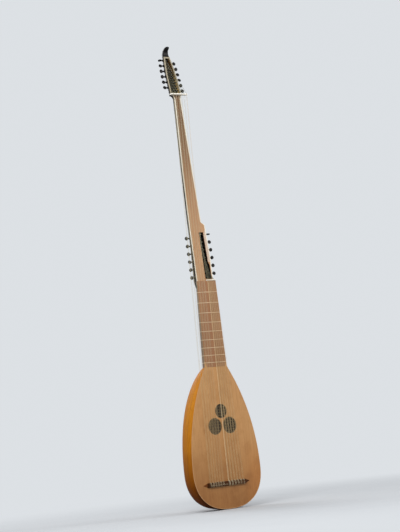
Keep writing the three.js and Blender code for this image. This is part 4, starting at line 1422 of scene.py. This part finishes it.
def peg_sections(length):
    """How far out from the cheek, half width and half thickness, from the tip out."""
    shaft = [(-length, tip_narrowing * shaft_at(length)),
             (tip_bevel - length, shaft_at(length))]
    shaft += [(-length * share, shaft_at(length * share)) for share in (0.75, 0.5, 0.25, 0)]
    shaft += [(out * mm, radius * mm) for out, radius in collar]
    rows = [(out, radius, radius) for out, radius in shaft]
    for share in steps(18):
        angle = math.pi * mix(leaf_foot, leaf_tip, share)
        wide = max(head_radius * math.sin(angle), stem_radius if share < 0.5 else 0)
        thick = head_half * min(1, leaf_fullness * math.sin(angle) ** leaf_round)
        thick = mix(stem_radius, thick, min(1, share / stem_blend))
        rows.append((head_reach - head_radius * math.cos(angle), wide, thick))
    return rows


print("a peg has", len(peg_sections(0)), "sections")

# %% Pegs
head_turns = [0.03, -0.06, 0.1, 0, -0.09, 0.07, -0.02, 0.05, 0.08, -0.05, 0.01, 0.48]
for kind, spots, lean in (("lower", lower_spots, 0), ("upper", upper_spots, pegbox_lean)):
    for spot in spots:
        turn = math.pi * head_turns[spot.number] - lean
        flat = Vector((0, math.cos(turn), math.sin(turn)))
        wide = Vector((0, -math.sin(turn), math.cos(turn)))
        rings = [peg_ring(spot, out, wide * half, flat * thick)
                 for out, half, thick in peg_sections(spot.length)]
        name = f"{kind}_peg_{spot.number + 1}"
        piece(f"{name}_turned", loft(rings), ebony, [name], f"{name}_body", 50)
print("pegs:", len(lower_spots) + len(upper_spots))

# %% [markdown]
# ## The bridge
# The strings are tied to a low dark bridge that is glued on the soundboard. Its ends
# run out in flat points, and the bass end is paler. It could be one block with bevels.
# Sections let the points thin out: one end is drawn from its point inwards, and the
# other is the same backwards.

# %% Bridge
bridge_wood = wood("bridge_wood", (38, 18, 4), (84, 46, 16), (14, 420, 420),
                   gloss=(0.45, 0.6), Specular_IOR_Level=0.12)
bridge_wood.stained_or_lit(bridge_wood.mask("X", -0.118, -0.126), (2.6, 2.3, 2.0))
bridge_tip = 22 * mm
tip_half = 1.5 * mm
tip_heights = (1.6, 3.2)
tip_hollow = 1.3
shoulder_share = 0.75
top_share = 0.86
bridge_seat = face_y - hair
bridge_height = face_y - bridge_low.y
bridge_half = (bridge_high.z - bridge_low.z) / 2
end = [(bridge_tip * share, mix(tip_half, bridge_half, share ** tip_hollow),
        mix(*tip_heights, share) * mm) for share in steps(12)]
end += [(bridge_tip + 0.6 * mm, bridge_half, bridge_height * 0.86),
        (bridge_tip + 2.4 * mm, bridge_half, bridge_height)]
sections = [(bridge_low.x + reach, half, height) for reach, half, height in end]
sections += [(bridge_high.x - reach, half, height) for reach, half, height in end[::-1]]
bridge_rings = []
for x, half, height in sections:
    top = face_y - height
    shoulder = mix(face_y, top, shoulder_share)
    profile = [(bridge_seat, -half), (shoulder, -half), (top, -half * top_share),
               (top, half * top_share), (shoulder, half), (bridge_seat, half)]
    bridge_rings.append([(x, y, bridge_z + z) for y, z in profile])
print("bridge is", round(bridge_high.x - bridge_low.x, 3), "m long")

# %% [markdown]
# ## Places of the strings
# Each course is a pair of strings. Six courses are stopped and six are long, and both
# sets fan out evenly between their first and last place on nut and bridge. So four
# pairs of numbers place all twenty-four. A bore through the bridge holds every string.

# %% Places of the strings
course_count = 6
nut_spans = {"stopped": (45, 5), "long": (-6, -79)}
bridge_spans = {"stopped": (79, -3), "long": (-36, -106)}
nut_pair, bridge_pair = 3.4 * mm, 5 * mm
hole_radius = 1.0 * mm
hole_y = face_y - 6.5 * mm
String = namedtuple("String", "kind course which nut_x bridge_x spot")
strings = []
for course in range(course_count):
    share = course / (course_count - 1)
    for which, side in ((0, -1), (1, 1)):
        upper = 2 * (course_count - 1 - course) + which
        for kind, spot in (("stopped", lower_spots[2 * course + 1 - which]),
                           ("long", upper_spots[upper])):
            nut_x = mix(*nut_spans[kind], share) * mm + side * nut_pair / 2
            bridge_x = mix(*bridge_spans[kind], share) * mm + side * bridge_pair / 2
            strings.append(String(kind, course, which, nut_x, bridge_x, spot))
holes = []
for string in strings:
    ends = [Vector((string.bridge_x, hole_y, bridge_z + reach))
            for reach in (-bridge_half - over, bridge_half + over)]
    holes.append(sweep(ends, hole_radius, 10))
piece("bridge_block", carved(loft(bridge_rings), holes), bridge_wood,
      ["bridge"])
print("strings:", len(strings))

# %% [markdown]
# ## Gut
# Gut is a twisted cord, the colour of honey and wax. Inside the pegboxes it is painted
# dark, which is painted shade, the long strings are cooler than the others, and the ends
# behind the bridge are greyer. Masks of place do this for all strings at once. One string
# is newer and paler than the rest, so it has a finish of its own.

# %% Gut
gut = wood("gut", (178, 150, 106), (212, 188, 142), (700, 700, 90),
           gloss=(0.35, 0.5), bump=0.00005)
# Painted shade: gut inside the lower pegbox is darkened.
lower_box_shade = gut.mask("Z", 1.016, 1.024) * gut.mask("Z", 1.30, 1.29)
gut.stained_or_lit(lower_box_shade * gut.mask("X", -0.015, -0.012), (0.17, 0.21, 0.23))
# Painted shade: gut inside the upper pegbox is darkened.
gut.stained_or_lit(gut.mask("Z", 1.862, 1.866) * gut.mask("Z", 1.99, 1.96), (0.42, 0.46, 0.44))
long_strings = gut.mask("X", -0.012, -0.016) * gut.mask("Z", 0.60, 0.70)
gut.stained_or_lit(long_strings, (0.86, 1.02, 1.25))
new_gut = wood("new_gut", (222, 196, 150), (250, 232, 196), (700, 700, 90),
               gloss=(0.3, 0.4), bump=0.00005)
# Painted shade: the paler string is darkened inside the lower pegbox.
new_gut.stained_or_lit(new_gut.mask("Z", 1.016, 1.024), (0.26, 0.30, 0.30))
for finish, colour in ((gut, (0.84, 0.94, 1.15)), (new_gut, (0.5, 0.55, 0.62))):
    finish.stained_or_lit(finish.mask("Z", 0.128, 0.123), colour)
print("finishes of the strings: 2")

# %% [markdown]
# ## Ends of a string
# A string ends in a few turns round its peg, which a loop works out. At the bridge it
# is tied: it goes through its hole, back over the top and round itself, and aside to a
# loose end. No formula has this shape, so its points are listed one by one.

# %% Winding
string_air = 0.15 * mm
turn_gap = 0.1 * mm
winding_steps = 20


def winding(spot, x, nut_point, radius, turns):
    """Turns round a peg, from where the string meets it to its free end."""
    wide = shaft_at(abs(spot.foot.x - x)) + string_air + radius
    dy, dz = nut_point.y - spot.foot.y, nut_point.z - spot.foot.z
    meet = math.atan2(dz, dy) - math.acos(wide / math.hypot(dy, dz))
    pitch = 2 * radius + turn_gap
    points = []
    for i in range(int(turns * winding_steps) + 1):
        angle = meet - 2 * math.pi * i / winding_steps
        points.append(Vector((x + spot.sign * pitch * i / winding_steps,
                              spot.foot.y + wide * math.cos(angle),
                              spot.foot.z + wide * math.sin(angle))))
    return points


print("a turn has", winding_steps, "points")

# %% Tie
tie_air = 0.2 * mm
tie_spread = 2.1


def tie(x, radius, end_x):
    """Over the bridge's back and top, round the string, and aside to its loose end."""
    top = face_y - bridge_height - radius
    rear = bridge_z - bridge_half - radius - tie_air
    front = bridge_z + bridge_half + radius + tie_air
    aside = tie_spread * radius
    loose = (end_x - x) / aside
    rows = [
        (0, hole_y, rear + 2 * mm), (0, hole_y, rear - 0.4 * mm),
        (0.3, mix(hole_y, top, 0.5), rear - 0.8 * mm),
        (0.6, top - 0.2 * mm, rear + 0.6 * mm),
        (1, top - 0.1 * mm, bridge_z - 0.3 * bridge_half),
        (1, top - 0.1 * mm, bridge_z + 0.3 * bridge_half),
        (0.8, top, front - 0.8 * mm),
        (0.5, mix(hole_y, top, 0.4), front + 0.3 * mm),
        (-0.6, mix(hole_y, top, 0.1), front + 0.5 * mm),
        (-0.9, mix(hole_y, top, 0.6), front + 0.2 * mm),
        (-0.6, top - 0.1 * mm, front - 1.2 * mm),
        (-0.2, top - 1.6 * radius, bridge_z + 0.1 * bridge_half),
        (1.1, top - 1.9 * radius, bridge_z - 0.25 * bridge_half),
        (0.5 * loose, top - 0.1 * mm, bridge_z - 0.5 * bridge_half),
        (loose, top, bridge_z - 0.3 * bridge_half),
    ]
    return [Vector((x + across * aside, y, z)) for across, y, z in rows]


def curved(points):
    """Three times as many points, on a smooth curve through the given ones."""
    out = []
    for i in range(len(points) - 1):
        p0, p1, p2, p3 = neighbours(points, i)
        out += [eased(p1, p2, (p2 - p0) / 2, (p3 - p1) / 2, t) for t in steps(3)[:-1]]
    return out + [points[-1]]


print("a tie has", len(curved(tie(0, 0.5 * mm, 4 * mm))), "points")

# %% [markdown]
# ## Strings
# Each string is one sweep from the free end of its winding, over its nut and down to
# its tie. A curve with a round bevel could draw it too. The sweep gives the mesh at
# once, and every string has as few faces as it needs. The thick ones are in the bass.

# %% Strings
nut_boxes = {"stopped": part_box("lower_nut"), "long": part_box("upper_nut")}
radii = {"stopped": (0.28 * mm, 0.6 * mm), "long": (0.32 * mm, 0.42 * mm)}
winding_x = {"stopped": (23 * mm, -1 * mm), "long": (pegbox_x - 20 * mm, pegbox_x - 8 * mm)}
winding_turns = {"stopped": 5.5, "long": 1.75}
tie_reach = {"stopped": 4 * mm, "long": 13 * mm}
bridge_front = bridge_z + bridge_half + 1.5 * mm
for kind, course, which, nut_x, bridge_x, spot in strings:
    radius = mix(*radii[kind], course / (course_count - 1))
    low, high = nut_boxes[kind]
    top = low.y - 0.6 * radius
    over_nut = [Vector((nut_x, top, mix(low.z, high.z, s))) for s in (0.2, 0.5, 0.8)]
    x = mix(*winding_x[kind], spot.number / (peg_count - 1))
    turns = winding(spot, x, over_nut[-1], radius, winding_turns[kind])
    end_x = bridge_x + tie_reach[kind] * (2 if kind == "long" and course == 0 else 1)
    points = turns[::-1] + over_nut[::-1] + [Vector((bridge_x, hole_y, bridge_front))]
    points += curved(tie(bridge_x, radius, end_x))
    number = course + 1 if kind == "stopped" else course + 1 + course_count
    name = f"string_{number}_{'ab'[which]}"
    finish = new_gut if name == "string_6_a" else gut
    piece(name, sweep(points, radius, 7), finish, [f"course_{number}"], sharp=80)
print("strings drawn:", len(strings))
